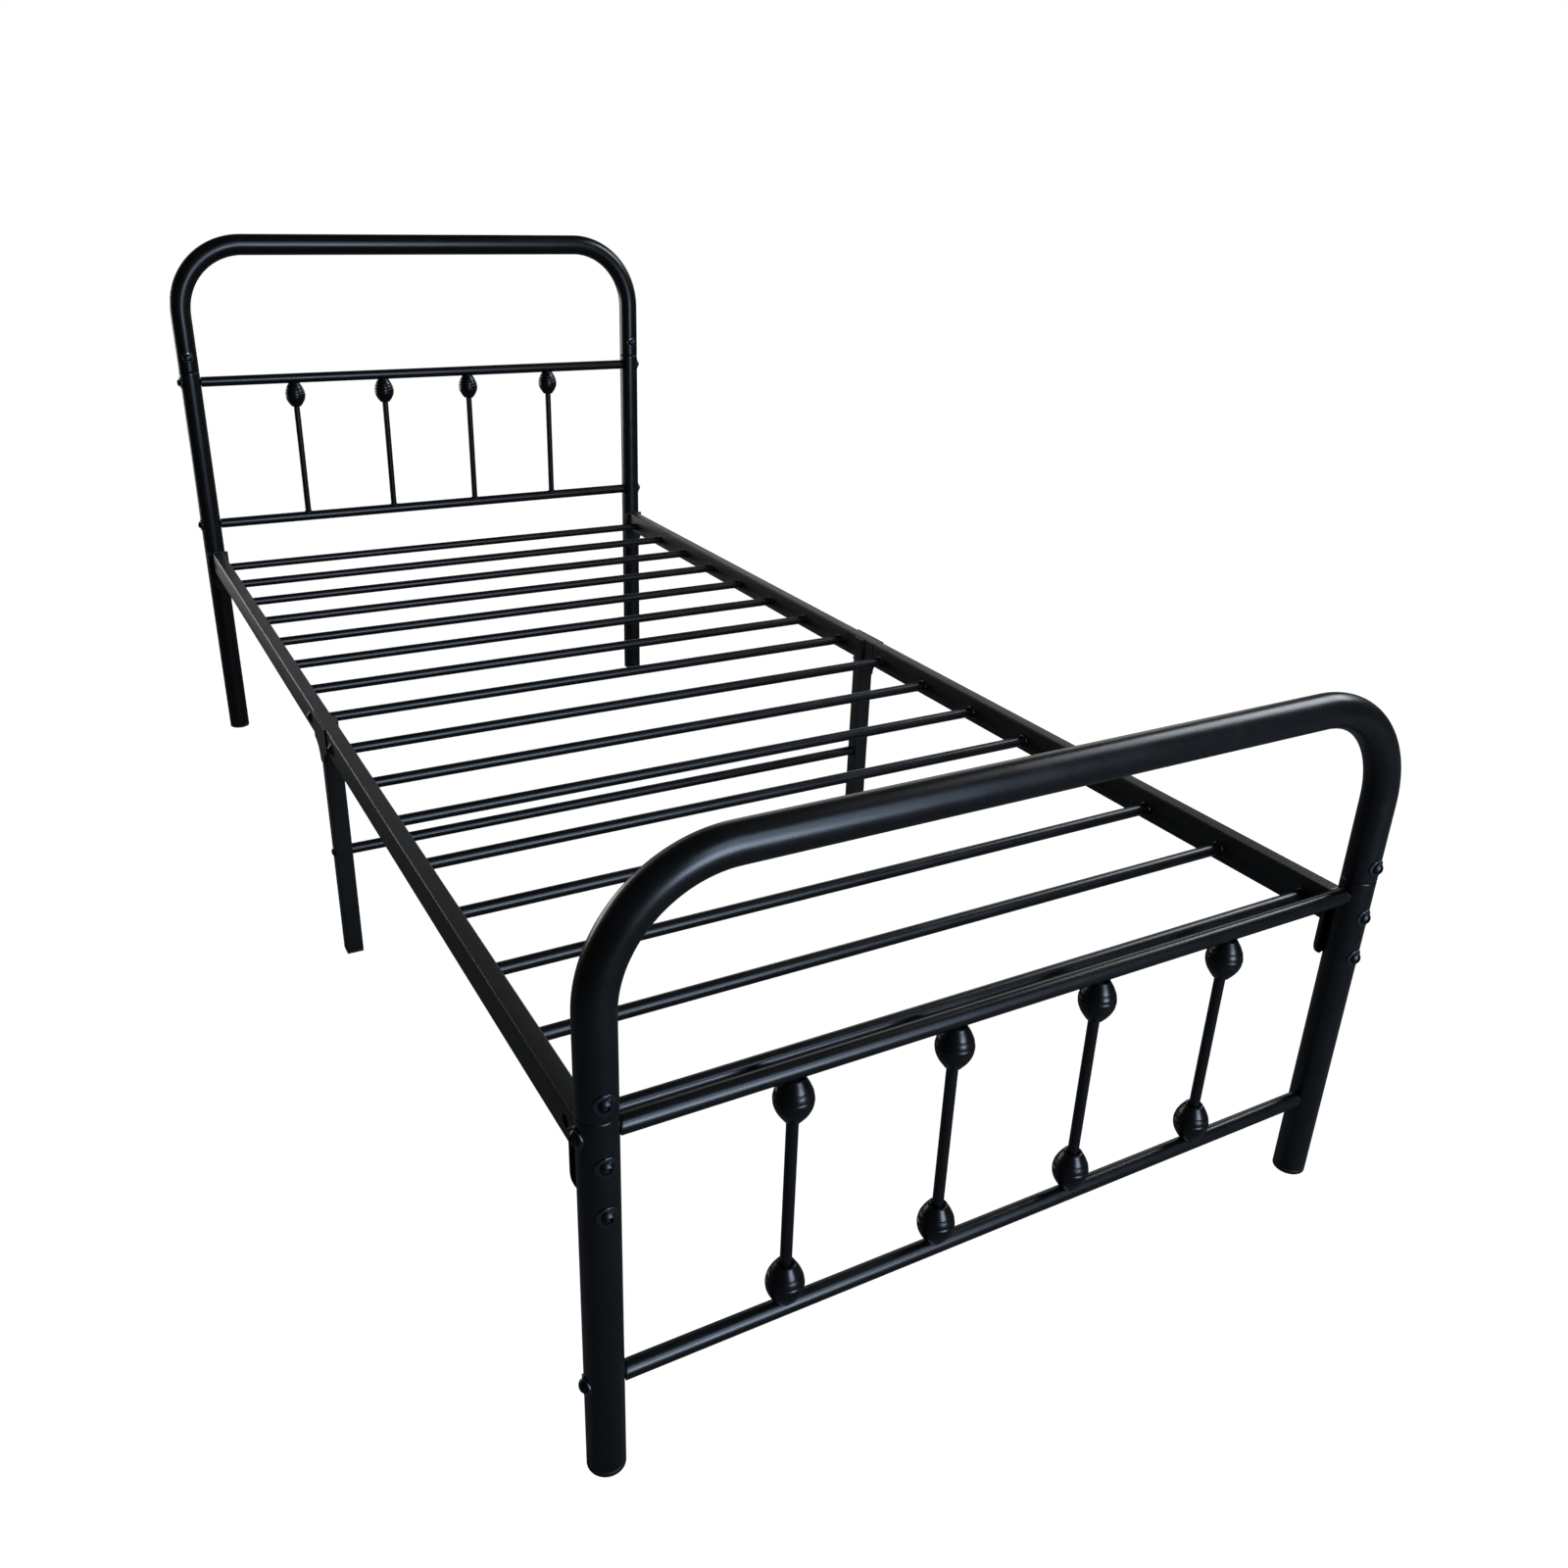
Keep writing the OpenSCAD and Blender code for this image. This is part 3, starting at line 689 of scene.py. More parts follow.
    def build_rods(self) -> None:
        """Rods between the crossbars, each end following the round bar, and a small weld round each
        end that isn't inside a bead.
        """
        low_z = self.bars["lower"].middle[2]
        high_z = self.bars["upper"].middle[2]
        turn = ring_angles(32)
        welds = Shell()
        for k in range(1, 5):
            name = f"{self.word}_spindle_{k}"
            box = NodeBox.of(name)
            radius = float(box.size[0]) / 2
            x = box.middle[0] + radius * np.cos(turn)
            y = radius * np.sin(turn)
            rise = np.sqrt(self.bar_radius**2 - y**2)
            low, high = columns(x, self.y + y, low_z + rise), columns(x, self.y + y, high_z - rise)
            Shell().add_rings(np.stack([low, high])).build(f"{name}_rod", TUBE_COAT, (name,))
            if self.end is End.HEAD:
                fine = ring_angles(64)
                run = radius + 0.5 * MM
                y = run * np.sin(fine)
                level = low_z + np.sqrt(self.bar_radius**2 - y**2) + 0.35 * MM
                path = columns(box.middle[0] + run * np.cos(fine), self.y + y, level)
                welds.add_weld(path, Z_AXIS, 1.0 * MM, 2.4 * MM, self.rng)
        if self.end is End.HEAD:
            welds.build(f"{self.word}_rod_weld_runs", WELD_COAT, slot=Slot.TUBE)

    def build_beads(self) -> None:
        """Every bead of the board."""
        nodes = {End.HEAD: ("bead",), End.FOOT: ("upper_bead", "lower_bead")}[self.end]
        for group in nodes:
            for k in range(1, 5):
                Bead(f"{self.word}_{group}_{k}", self.bars, self.bar_radius).build()


@dataclass
class Bead:
    """Cast bead on a rod: a bulb with three turned grooves round it and a flat rim on top."""

    node: str
    bars: dict[str, NodeBox]
    bar_radius: float
    height: float = 47 * MM
    low_swing: float = 2.27
    high_swing: float = 2.02
    widest: float = 0.48
    grooves: tuple[float, ...] = (0.44, 0.59, 0.75)
    groove_share: tuple[float, ...] = (0.45, 1.0, 1.0)
    groove_width: float = 0.016
    groove_depth: float = 0.8 * MM
    swell: float = 0.1 * MM
    bore: float = 6.1 * MM
    rim: float = 7.6 * MM
    rim_depth: float = 2.6 * MM

    def envelope(self, share: np.ndarray) -> np.ndarray:
        """Share of the largest radius at shares of the height: a cosine away from the widest level."""
        swing = np.where(share < self.widest, self.low_swing, self.high_swing)
        return np.cos(swing * (share - self.widest))

    def build(self) -> None:
        """Turns the bead: the outline less three narrow grooves, a slight swell on the bands between
        them, a rounded rim and the recess round the rod. Points that would enter a crossbar are held on
        its surface.
        """
        box = NodeBox.of(self.node)
        largest = float(box.size[0]) / 2
        upper = "lower_bead" not in self.node
        height = self.height
        foot = float(box.low[2] if upper else box.high[2] - height)
        share = np.linspace(0.03, 0.965, 117)
        level = np.array(self.grooves)
        band = (level[1:] + level[:-1]) / 2
        cut = np.exp(-(((share[:, None] - level) / self.groove_width) ** 2)) @ np.array(self.groove_share)
        rise = np.exp(-(((share[:, None] - band) / (3 * self.groove_width)) ** 2)).sum(axis=1)
        radius = (largest - self.swell) * self.envelope(share) - self.groove_depth * cut + self.swell * rise
        body = columns(np.minimum(radius, largest), foot + share * height)
        start, stop = body[0], body[-1]
        profile = np.vstack(
            [
                [self.bore, foot],
                [start[0] - 1.6 * MM, foot],
                [start[0] - 0.6 * MM, foot + 0.35 * MM],
                body,
                [stop[0] - 0.5 * MM, stop[1] + 1.1 * MM],
                [stop[0] - 1.3 * MM, foot + height],
                [self.rim + 0.3 * MM, foot + height],
                [self.rim - 0.1 * MM, foot + height - 0.4 * MM],
                [self.bore + 1.0 * MM, foot + height - self.rim_depth + 0.6 * MM],
                [self.bore, foot + height - self.rim_depth],
            ]
        )
        turn = ring_angles(64)
        reach = profile[:, :1]
        rings = columns(
            box.middle[0] + reach * np.cos(turn), box.middle[1] + reach * np.sin(turn), profile[:, 1:]
        )
        bar_z = self.bars["upper" if upper else "lower"].middle[2]
        off = np.minimum(np.abs(rings[..., 1] - box.middle[1]), self.bar_radius)
        surface = np.sqrt(self.bar_radius**2 - off**2)
        level = rings[..., 2]
        held = np.minimum(level, bar_z - surface) if upper else np.maximum(level, bar_z + surface)
        rings[..., 2] = np.where(off < self.bar_radius, held, level)
        Shell().add_rings(rings, loop=True).build(
            f"{self.node}_casting", BEAD_ENAMEL, (self.node,), sharp_degrees=50.0
        )


# ---------------------------------------------------------------- deck


@dataclass
class SideRail:
    """Half of a side rail: box section, end plate with weld nuts, drain hole and weld run."""

    end: End
    side: Side
    post_x: float
    rng: np.random.Generator
    width: float = 20 * MM
    height: float = 40 * MM
    wall: float = 1.2 * MM
    corner: float = 2.0 * MM
    plate: float = 3.0 * MM
    plate_width: float = 40 * MM
    plate_inner: float = 18 * MM
    plate_outer: float = 38 * MM
    drain_in: float = 36 * MM
    drain_radius: float = 6.5 * MM
    nut_flats: float = 13 * MM
    nut_height: float = 6.5 * MM
    nut_levels: tuple[float, float] = (317 * MM, 370 * MM)

    def build(self) -> None:
        """Builds the rail from its CAD box, as one piece, and its weld run as another."""
        node = f"{self.end.word}_{self.side.word}_rail"
        box = NodeBox.of(node)
        sx, sy = self.side.value, self.end.value
        centre = np.array([float(box.middle[0]), 0.0, float(box.high[2]) - self.height / 2])
        plate_face = max(abs(box.low[1]), abs(box.high[1]))
        start = min(abs(box.low[1]), abs(box.high[1]))
        stop = plate_face - self.plate
        outer = rounded_rectangle(self.width, self.height, self.corner)
        hollow = 2 * self.wall
        inner = rounded_rectangle(self.width - hollow, self.height - hollow, self.corner - self.wall)
        lip = 0.35 * MM
        stops = [(start, lip), (start + lip, 0.0), (stop, 0.0)]
        rings = [self.section(inset(outer, depth), centre, sy * y) for y, depth in stops]
        rings += [self.section(inner, centre, sy * y) for y in (stop, start)]
        shell = Shell().add_rings(np.array(rings), loop=True)
        tube = shell.build(f"{node}_box_section", RAIL_COAT, (node,))
        hole = np.array([centre[0], sy * (plate_face - self.drain_in), centre[2]])
        drill(tube, hole, sx * X_AXIS, self.drain_radius, self.width)
        bracket = Shell()
        low = float(box.low[2])
        outline = self.plate_outline(float(box.high[2]) - low) * np.array([sx, 1.0])
        if sx < 0:
            outline = outline[::-1]
        face = np.array([centre[0], sy * plate_face if sy < 0 else stop, low])
        bracket.add_prism(outline, face + self.plate * Y_AXIS, X_AXIS, Z_AXIS, self.plate, 0.5 * MM)
        around, top = 36, self.nut_height
        share = np.ones((4, around)) * hexagon_radius(self.nut_flats, ring_angles(around))
        profile = np.array([[0.93, 0.0], [1.0, 0.4 * MM], [1.0, top - 0.6 * MM], [0.92, top]])
        for level in self.nut_levels:
            nut = np.array([sx * self.post_x, sy * stop, level])
            bracket.add_lathe(profile, nut, -sy * Y_AXIS, around, radius_share=share)
        bracket.build(f"{node}_end_plate", RAIL_COAT, sharp_degrees=20.0)
        run = rounded_rectangle(self.width + 1.2 * MM, self.height + 1.2 * MM, self.corner + 0.6 * MM, 7)
        run = resample(run, 150)
        path = self.section(run, centre, sy * (stop - 0.9 * MM))
        path[:, 2] = np.minimum(path[:, 2], centre[2] + self.height / 2 + 0.1 * MM)
        Shell().add_weld(path, Y_AXIS, 1.5 * MM, 3.0 * MM, self.rng).build(
            f"{node}_plate_weld_run", WELD_COAT
        )

    def section(self, outline: np.ndarray, centre: np.ndarray, y: float) -> np.ndarray:
        """Places a rail outline, points across and up from its centre, at a distance along the bed."""
        return columns(centre[0] + outline[:, 0], y, centre[2] + outline[:, 1])

    def plate_outline(self, height: float) -> np.ndarray:
        """End plate: square at the top, a small quarter circle below on the inside and a wide one on
        the outside, both touching the lowest line.

        Args:
            height: Height of the plate.

        Returns:
            Outline points, outside at positive first coordinate, anticlockwise.
        """
        half = self.plate_width / 2
        across = np.linspace(-half, half, 61)
        lift = []
        for radius, inside in (
            (self.plate_inner, np.minimum(0.0, across + half - self.plate_inner)),
            (self.plate_outer, np.maximum(0.0, across - half + self.plate_outer)),
        ):
            lift.append(radius - np.sqrt(np.maximum(0.0, radius**2 - inside**2)))
        lowest = np.maximum(*lift)
        bottom = columns(across, lowest - lowest.min())
        first, last = bottom[0, 1], bottom[-1, 1]
        sides = np.linspace(0.0, 1.0, 12)[1:]
        right = columns(half, last + sides * (height - last))
        top = columns(np.linspace(half, -half, 14)[1:-1], height)
        left = columns(-half, height + (sides - sides[0]) * (first - height))
        return np.vstack([bottom, right, top, left])


def resample(outline: np.ndarray, count: int) -> np.ndarray:
    """Spreads points evenly along a closed outline, by straight steps between its own points.

    Args:
        outline: Closed outline, shape (n, 2).
        count: How many points to return.

    Returns:
        Outline of that many evenly spaced points.
    """
    closed = np.vstack([outline, outline[:1]])
    travel = np.concatenate([[0.0], np.cumsum(np.linalg.norm(np.diff(closed, axis=0), axis=1))])
    where = np.arange(count) * (travel[-1] / count)
    return columns(*(np.interp(where, travel, closed[:, k]) for k in (0, 1)))


def build_cross_tube(node: str) -> NodeBox:
    """Builds a closed tube along X in the place of a node.

    Args:
        node: CAD node of a slat or stretcher.

    Returns:
        The node's box.
    """
    box = NodeBox.of(node)
    radius = float(box.size[1]) / 2
    profile = columns(radius, np.array([box.low[0], box.high[0]]))
    origin = np.array([0.0, box.middle[1], box.middle[2]])
    Shell().add_lathe(profile, origin, X_AXIS, 40).build(f"{node}_tube", TUBE_COAT, (node,))
    return box


@dataclass
class SlatDeck:
    """Sixteen tube slats welded between the rails."""

    rng: np.random.Generator
    count: int = 16

    def build(self) -> None:
        """Builds each slat as a closed tube along X, and a weld run round each of its ends."""
        welds = {side: Shell() for side in Side}
        turn = ring_angles(72)
        for k in range(1, self.count + 1):
            box = build_cross_tube(f"slat_{k:02d}")
            run = float(box.size[1]) / 2 + 0.7 * MM
            y, z = box.middle[1] + run * np.cos(turn), box.middle[2] + run * np.sin(turn)
            for side in Side:
                path = columns(side.value * (float(box.high[0]) - 0.7 * MM), y, z)
                welds[side].add_weld(path, X_AXIS, 1.35 * MM, 2.8 * MM, self.rng)
        for side, shell in welds.items():
            shell.build(f"slat_{side.word}_weld_runs", WELD_COAT)


@dataclass
class MiddleSupport:
    """Middle joint of the bed: on each side a square leg under a joiner, and the stretcher between."""

    rng: np.random.Generator
    leg_width: float = 25 * MM
    leg_corner: float = 1.6 * MM
    joiner_length: float = 80 * MM
    rail_width: float = 20 * MM
    rail_height: float = 40 * MM
    tongue_length: float = 52 * MM
    gusset: float = 2.6 * MM

    def build(self) -> None:
        """Builds both legs and the stretcher."""
        for side in Side:
            self.build_leg(side)
        build_cross_tube("middle_stretcher")

    def build_leg(self, side: Side) -> None:
        """Builds one leg: square tube, joiner block, its tongues, the flared gusset and weld runs.

        Args:
            side: Which side of the bed.
        """
        node = f"middle_{side.word}_leg"
        box = NodeBox.of(node)
        rail = NodeBox.of(f"head_{side.word}_rail")
        sx = side.value
        top = float(box.high[2])
        low = float(box.low[2])
        inner_face = min(abs(box.low[0]), abs(box.high[0]))
        outer_face = max(abs(box.low[0]), abs(box.high[0]))
        leg_x = sx * (inner_face + self.leg_width / 2)
        rail_x = float(rail.middle[0])
        under = top - self.rail_height
        shell = Shell()
        square = rounded_rectangle(self.leg_width, self.leg_width, self.leg_corner)
        shell.add_prism(square, np.array([leg_x, 0.0, low]), X_AXIS, Y_AXIS, top - 1.2 * MM - low, 0.3 * MM)
        block = rounded_rectangle(self.rail_width, self.rail_height, 2.0 * MM)
        middle_z = top - self.rail_height / 2
        half = self.joiner_length / 2
        near = np.array([rail_x, half, middle_z])
        shell.add_prism(block, near, X_AXIS, Z_AXIS, self.joiner_length, 0.5 * MM)
        tongue = rounded_rectangle(self.rail_width - 3.0 * MM, self.rail_height - 3.0 * MM, 1.0 * MM)
        reach = half + self.tongue_length
        shell.add_prism(tongue, np.array([rail_x, reach, middle_z]), X_AXIS, Z_AXIS, 2 * reach, 0.3 * MM)
        face = outer_face - self.gusset if sx > 0 else -outer_face
        corner = np.array([face, 0.0, under])
        shell.add_prism(self.gusset_outline(), corner, Y_AXIS, Z_AXIS, self.gusset, 0.5 * MM)
        shell.build(f"{node}_square_tube", RAIL_COAT, (node,), sharp_degrees=20.0)
        welds = Shell()
        wide = self.leg_width + 1.0 * MM
        ring = resample(rounded_rectangle(wide, wide, 2.0 * MM), 120)
        path = columns(leg_x + ring[:, 0], ring[:, 1], under - 0.6 * MM)
        inside = np.abs(path[:, 0]) < abs(leg_x) + self.leg_width / 2 - 0.5 * MM
        start = int(np.argmax(~inside & np.roll(inside, -1)))
        run = np.roll(path, -start - 1, axis=0)[: int(inside.sum())]
        welds.add_weld(run, Z_AXIS, 1.3 * MM, 2.8 * MM, self.rng, closed=False)
        for sy in (-1, 1):
            upright = np.linspace(under + 2 * MM, top - 3 * MM, 60)
            inner = sx * (inner_face + 3.4 * MM)
            path = columns(inner, sy * (self.leg_width / 2 + 0.4 * MM), upright)
            welds.add_weld(path, X_AXIS, 1.1 * MM, 2.8 * MM, self.rng, closed=False)
        welds.build(f"{node}_weld_runs", WELD_COAT)

    def gusset_outline(self) -> np.ndarray:
        """Outer strip over the joiner: square above, and below each end a quarter circle that curves
        in from the joiner to the leg's width.

        Returns:
            Outline with its origin under the middle of the joiner, anticlockwise.
        """
        half = self.joiner_length / 2
        flare = half - self.leg_width / 2
        turn = np.linspace(0.0, math.pi / 2, 20)
        right = columns(half - flare * np.cos(turn), -flare + flare * np.sin(turn))
        top = columns(np.linspace(half, -half, 30), self.rail_height)
        left = right[::-1] * np.array([-1.0, 1.0])
        return np.vstack([right, top, left])


# ---------------------------------------------------------------- fasteners and feet


@dataclass(frozen=True)
class BoltSeat:
    """Where a bolt sits: the seat of its head, the way the head faces, and its shank's length."""

    seat: np.ndarray
    facing: np.ndarray
    length: float
    washer: str


@dataclass
class Fasteners:
    """Domed socket bolts with their washers."""

    post_radius: float
    head_radius: float = 7.0 * MM
    head_height: float = 4.4 * MM
    shank: float = 4.0 * MM
    socket: float = 5.0 * MM
    socket_depth: float = 2.6 * MM
    washer_radius: float = 10.5 * MM
    flat_washer_radius: float = 9.0 * MM
    washer: float = 1.6 * MM

    def build(self, seats: dict[str, list[BoltSeat]]) -> None:
        """Builds each group of bolts as one piece and all the washers as another.

        Args:
            seats: Bolt seats by the CAD node that they stand for.
        """
        washers = Shell()
        for node, group in seats.items():
            bolts = Shell()
            for bolt in group:
                self.add_bolt(bolts, bolt)
                if bolt.washer == "saddle":
                    self.add_saddle_washer(washers, bolt)
                elif bolt.washer == "flat":
                    self.add_flat_washer(washers, bolt)
            bolts.build(f"{node}_socket_heads", BLACK_OXIDE, (node,))
        washers.build("bolt_washers_pressed", BLACK_ZINC, ("bolt_washers",))

    def add_bolt(self, shell: Shell, bolt: BoltSeat) -> None:
        """Adds one bolt: shank, rounded rim, spherical dome and a hexagonal socket.

        The dome's height over a point is that of a sphere cap, and the rings of the socket blend from
        a circle to the hexagon.

        Args:
            shell: Shell that gets the surface.
            bolt: Where the bolt sits.
        """
        around = 48
        turn = ring_angles(around)
        hexagon = hexagon_radius(self.socket, turn)
        ball = (self.head_height**2 + self.head_radius**2) / (2 * self.head_height) + 0.3 * MM
        dome = np.linspace(self.head_radius - 0.15 * MM, self.socket * 0.66, 9)
        height = self.head_height - ball + np.sqrt(ball**2 - dome**2)
        thread = np.arange(0.0, 4.0 * MM, 0.5 * MM)
        tip = bolt.length
        steps = [(self.shank - 0.9 * MM, -tip), (self.shank - 0.2 * MM, -tip + 0.7 * MM)]
        for k, distance in enumerate(thread):
            steps.append((self.shank - (0.35 if k % 2 else 0.0) * MM, -tip + 1.0 * MM + distance))
        steps += [(self.shank, 0.0), (self.head_radius - 0.35 * MM, 0.0), (self.head_radius, 0.25 * MM)]
        steps += list(zip(dome, height))
        profile = np.array(steps)
        share = np.ones((len(profile), around))
        rim = height[-1]
        floor = self.head_height - self.socket_depth
        for level, circle in ((rim + 0.02 * MM, 0.35), (rim - 0.25 * MM, 0.0), (floor, 0.0)):
            ring = hexagon * (1 - circle) + circle * self.socket * 0.62
            profile = np.vstack([profile, [1.0, level]])
            share = np.vstack([share, ring])
        shell.add_lathe(profile, bolt.seat, bolt.facing, around, radius_share=share)

    def washer_profile(self, radius: float) -> np.ndarray:
        """Section of a pressed washer: radius and height round a flat ring with rolled edges.

        Args:
            radius: Outer radius.

        Returns:
            Closed profile points (radius, height).
        """
        bore = self.shank + 0.3 * MM
        t = self.washer
        edge = 0.5 * MM
        turn = np.linspace(-math.pi / 2, math.pi / 2, 7)
        rim = columns(radius - edge + edge * np.cos(turn), t / 2 + (t / 2) * np.sin(turn))
        return np.vstack([[bore, 0.0], rim, [self.head_radius + 0.6 * MM, t], [bore, t]])

    def add_saddle_washer(self, shell: Shell, bolt: BoltSeat) -> None:
        """Adds a washer bent round the post: a flat ring whose points move back by the fall of the
        post's circle at their distance from the middle.

        Args:
            shell: Shell that gets the surface.
            bolt: Bolt that the washer belongs to.
        """
        profile = self.washer_profile(self.washer_radius)
        turn = ring_angles(56)
        level = np.cross(Z_AXIS, bolt.facing)
        across = profile[:, :1] * np.cos(turn)
        up = profile[:, :1] * np.sin(turn)
        reach = self.post_radius + profile[:, 1:]
        out = np.sqrt(reach**2 - across**2) - self.post_radius - self.washer
        rings = bolt.seat + across[..., None] * level + up[..., None] * Z_AXIS + out[..., None] * bolt.facing
        shell.add_rings(rings, loop=True)

    def add_flat_washer(self, shell: Shell, bolt: BoltSeat) -> None:
        """Adds a flat washer under a bolt's head.

        Args:
            shell: Shell that gets the surface.
            bolt: Bolt that the washer belongs to.
        """
        profile = self.washer_profile(self.flat_washer_radius)
        shell.add_lathe(profile - np.array([0.0, self.washer]), bolt.seat, bolt.facing, 56, loop=True)


def bolt_seats(head: EndBoard, foot: EndBoard, fasteners: Fasteners) -> dict[str, list[BoltSeat]]:
    """Lists every bolt from the levels of the boards, rails and legs.

    Args:
        head: The headboard.
        foot: The footboard.
        fasteners: Sizes of the bolts.

    Returns:
        Bolt seats by CAD node.
    """
    seats: dict[str, list[BoltSeat]] = {
        node: []
        for node in ("arch_bolts", "crossbar_bolts", "rail_bracket_bolts", "middle_joint_bolts")
    }
    arch_rise = {End.HEAD: 28 * MM, End.FOOT: 19 * MM}
    out = head.radius + fasteners.washer
    for board in (head, foot):
        sy = board.end.value
        for side in Side:
            x = side.value * board.post_x
            spot = np.array([x, board.y - out, board.seam + arch_rise[board.end]])
            seats["arch_bolts"].append(BoltSeat(spot, -Y_AXIS, 11.5 * MM, "saddle"))
            for box in board.bars.values():
                spot = np.array([side.value * (board.post_x + out), board.y, float(box.middle[2])])
                bolt = BoltSeat(spot, side.value * X_AXIS, 49.6 * MM, "saddle")
                seats["crossbar_bolts"].append(bolt)
            for level in SideRail.nut_levels:
                spot = np.array([x, board.y + sy * out, level])
                bolt = BoltSeat(spot, sy * Y_AXIS, 50.1 * MM, "saddle")
                seats["rail_bracket_bolts"].append(bolt)
    rail = NodeBox.of("head_right_rail")
    leg = NodeBox.of("middle_right_leg")
    stretcher = NodeBox.of("middle_stretcher")
    rail_out = float(rail.middle[0]) + 10 * MM + fasteners.washer
    leg_out = min(abs(leg.low[0]), abs(leg.high[0])) + 25 * MM
    for side in Side:
        for end in End:
            spot = np.array([side.value * rail_out, end.value * 69 * MM, float(rail.high[2]) - 20 * MM])
            seats["middle_joint_bolts"].append(BoltSeat(spot, side.value * X_AXIS, 11.8 * MM, "flat"))
        spot = np.array([side.value * leg_out, 0.0, float(stretcher.middle[2])])
        seats["middle_joint_bolts"].append(BoltSeat(spot, side.value * X_AXIS, 35 * MM, "none"))
    return seats


@dataclass
class FootCaps:
    """Moulded plastic caps under the posts and the middle legs."""

    post_x: float
    post_y: float
    post_radius: float
    edge: float = 1.2 * MM
    post_cap: float = 6 * MM
    leg_cap: float = 4 * MM
    leg_width: float = 25 * MM

    def build(self) -> None:
        """Builds the round caps as one piece and the square ones as another."""
        turn = np.linspace(-math.pi / 2, 0.0, 6)
        inside = self.post_radius - self.edge
        round_over = columns(inside + self.edge * np.cos(turn), self.edge + self.edge * np.sin(turn))
        profile = np.vstack(
            [
                [4.0 * MM, 0.8 * MM],
                [11.0 * MM, 0.8 * MM],
                [12.0 * MM, 0.0],
                round_over,
                [self.post_radius, self.post_cap - 0.6 * MM],
                [self.post_radius - 0.4 * MM, self.post_cap - 0.1 * MM],
                [self.post_radius - 1.5 * MM, self.post_cap],
                [self.post_radius - 1.5 * MM, self.post_cap + 8 * MM],
            ]
        )
        caps = Shell()
        for sx in (-1, 1):
            for sy in (-1, 1):
                caps.add_lathe(profile, np.array([sx * self.post_x, sy * self.post_y, 0.0]), Z_AXIS, 64)
        caps.build("post_foot_caps_moulded", MOULDED_PLASTIC, ("post_foot_caps",))
        box = NodeBox.of("middle_leg_foot_caps")
        leg_x = float(box.high[0]) - self.leg_width / 2
        squares = Shell()
        outline = rounded_rectangle(self.leg_width, self.leg_width, 1.6 * MM)
        for sx in (-1, 1):
            spot = np.array([sx * leg_x, 0.0, 0.0])
            squares.add_prism(outline, spot, X_AXIS, Y_AXIS, self.leg_cap, 0.6 * MM)
        squares.build(
            "middle_leg_foot_caps_moulded", MOULDED_PLASTIC, ("middle_leg_foot_caps",), sharp_degrees=20.0
        )


# ---------------------------------------------------------------- studio


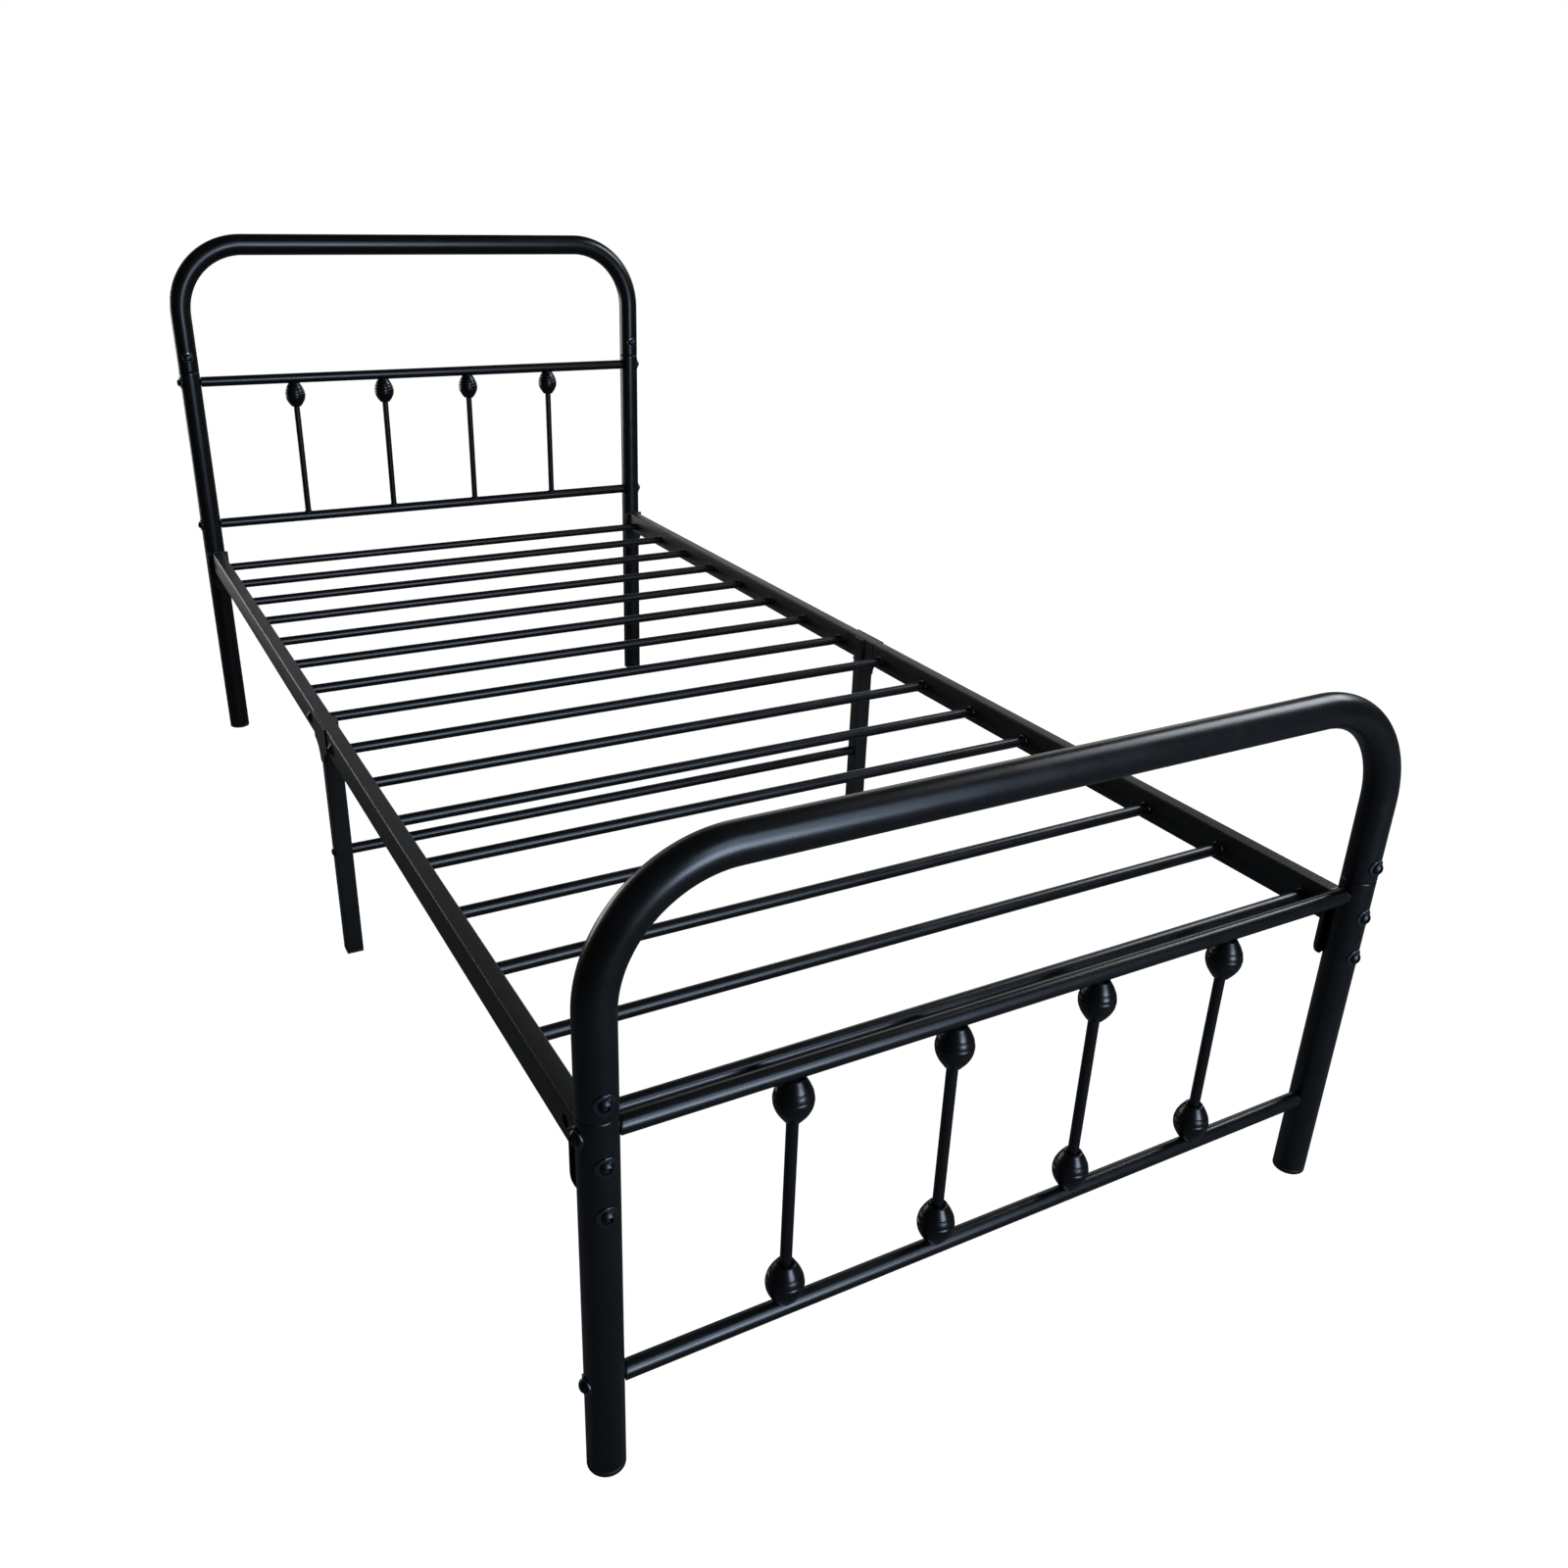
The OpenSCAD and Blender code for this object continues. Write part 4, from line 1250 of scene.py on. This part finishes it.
@dataclass
class Studio:
    """Pale floor, soft lights and the camera."""

    floor_size: float = 14.0
    sensor: float = 36.0
    lens: float = 30.582
    shift: tuple[float, float] = (0.0203, 0.0009)
    eye: tuple[float, float, float] = (-0.79075, -1.85876, 1.12338)
    ahead: tuple[float, float, float] = (0.44202, 0.79346, -0.41837)
    rightward: tuple[float, float, float] = (0.87909, -0.47594, 0.02614)

    def build(self) -> None:
        """Builds the camera, the lights, the surroundings and the floor."""
        self.build_camera()
        self.build_lights()
        self.build_world()
        self.build_floor()
        view = bpy.context.scene.view_settings
        view.view_transform, view.look = "Standard", "None"

    def build_camera(self) -> None:
        """Places the camera by its eye point and two of its directions."""
        data = bpy.data.cameras.new("view_camera")
        data.sensor_fit, data.sensor_width, data.lens = "HORIZONTAL", self.sensor, self.lens
        data.shift_x, data.shift_y = self.shift
        data.clip_end = 60.0
        ahead = Vector(self.ahead).normalized()
        right = Vector(self.rightward)
        right = (right - right.dot(ahead) * ahead).normalized()
        up = right.cross(ahead)
        camera = bpy.data.objects.new("view_camera", data)
        rows = [(right[k], up[k], -ahead[k], self.eye[k]) for k in range(3)]
        camera.matrix_world = Matrix((*rows, (0.0, 0.0, 0.0, 1.0)))
        bpy.context.scene.collection.objects.link(camera)
        bpy.context.scene.camera = camera

    def build_lights(self) -> None:
        """Hangs soft rectangular lights: two cool ones in front of the foot, a bright one over the right
        side, two pale walls at the back and a smaller one on the left.
        """
        for name, place, target, size, energy, colour in (
            ("soft_key", (0.75, -3.5, 2.3), (-0.1, -1.0, 0.5), (1.7, 1.6), 34.0, "#cbe1ff"),
            ("soft_window", (0.6, -4.0, 0.95), (-0.3, -1.0, 0.4), (1.4, 1.2), 68.0, "#cde0fb"),
            ("soft_overhead", (3.4, -0.4, 3.0), (0.2, -0.8, 0.5), (1.7, 1.7), 70.0, "#eff6ff"),
            ("wall_back_right", (2.8, 3.3, 1.5), (0.4, 0.0, 0.4), (3.2, 2.0), 19.0, "#fffffa"),
            ("wall_back", (-0.4, 4.2, 1.7), (0.0, 0.0, 0.4), (3.0, 2.2), 11.0, "#f6f8ff"),
            ("wall_left", (-1.6, 3.0, 0.5), (-0.5, 0.0, 0.4), (2.0, 1.0), 24.0, "#fffffa"),
        ):
            data = bpy.data.lights.new(name, "AREA")
            data.shape, data.size, data.size_y = "RECTANGLE", size[0], size[1]
            data.energy, data.color = energy, linear_rgba(colour)[:3]
            lamp = bpy.data.objects.new(name, data)
            toward = Vector(target) - Vector(place)
            turn = toward.to_track_quat("-Z", "Y").to_matrix().to_4x4()
            lamp.matrix_world = Matrix.Translation(place) @ turn
            bpy.context.scene.collection.objects.link(lamp)

    def build_world(self) -> None:
        """White surroundings behind the bed, and a dim even room in its reflections."""
        world = bpy.data.worlds.new("studio_room")
        bpy.context.scene.world = world
        tree = empty_tree(world)
        seen = add_node(tree, "ShaderNodeLightPath").outputs["Is Camera Ray"]
        strength = add_node(
            tree, "ShaderNodeMapRange", inputs={"Value": seen, "To Min": 0.03, "To Max": 1.0}
        ).outputs["Result"]
        sky = add_node(
            tree, "ShaderNodeBackground", inputs={"Color": linear_rgba("#ffffff"), "Strength": strength}
        )
        add_node(tree, "ShaderNodeOutputWorld", inputs={"Surface": sky.outputs[0]})

    def build_floor(self) -> None:
        """Lays a plain pale floor: white where it is seen, dim in the reflections of the bed, and clear
        from below, so that the underside of the bed can be looked at.
        """
        half = self.floor_size / 2
        corners = [(-half, -half, 0.0), (half, -half, 0.0), (half, half, 0.0), (-half, half, 0.0)]
        mesh = bpy.data.meshes.new("studio_floor")
        mesh.from_pydata(corners, [], [(0, 1, 2, 3)])
        floor = bpy.data.objects.new("studio_floor", mesh)
        bpy.context.scene.collection.objects.link(floor)
        material = bpy.data.materials.new("matt_white_floor_paint")
        tree = empty_tree(material)
        seen = add_node(tree, "ShaderNodeLightPath").outputs["Is Camera Ray"]
        paint = add_node(tree, "ShaderNodeBsdfDiffuse", inputs={"Color": (0.15, 0.15, 0.15, 1.0)})
        glow = add_node(tree, "ShaderNodeEmission", inputs={"Color": (1.0, 1.0, 1.0, 1.0)})
        both = add_node(tree, "ShaderNodeAddShader", inputs={0: paint.outputs[0], 1: glow.outputs[0]})
        faces = {0: seen, 1: paint.outputs[0], 2: both.outputs[0]}
        mixed = add_node(tree, "ShaderNodeMixShader", inputs=faces)
        below = add_node(tree, "ShaderNodeNewGeometry").outputs["Backfacing"]
        clear = add_node(tree, "ShaderNodeBsdfTransparent").outputs[0]
        one_sided = add_node(tree, "ShaderNodeMixShader", inputs={0: below, 1: mixed.outputs[0], 2: clear})
        add_node(tree, "ShaderNodeOutputMaterial", inputs={"Surface": one_sided.outputs[0]})
        mesh.materials.append(material)


# ---------------------------------------------------------------- whole bed


def main() -> None:
    """Builds the bed and the studio."""
    logging.basicConfig(level=logging.INFO, format="%(message)s")
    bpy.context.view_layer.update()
    rng = np.random.default_rng(7)
    boards = {end: EndBoard(end, rng) for end in End}
    for board in boards.values():
        board.build()
    head, foot = boards[End.HEAD], boards[End.FOOT]
    for end in End:
        for side in Side:
            SideRail(end, side, head.post_x, rng).build()
    SlatDeck(rng).build()
    MiddleSupport(rng).build()
    fasteners = Fasteners(head.radius)
    fasteners.build(bolt_seats(head, foot, fasteners))
    FootCaps(head.post_x, head.y, head.radius).build()
    Studio().build()


if __name__ == "__main__":
    main()
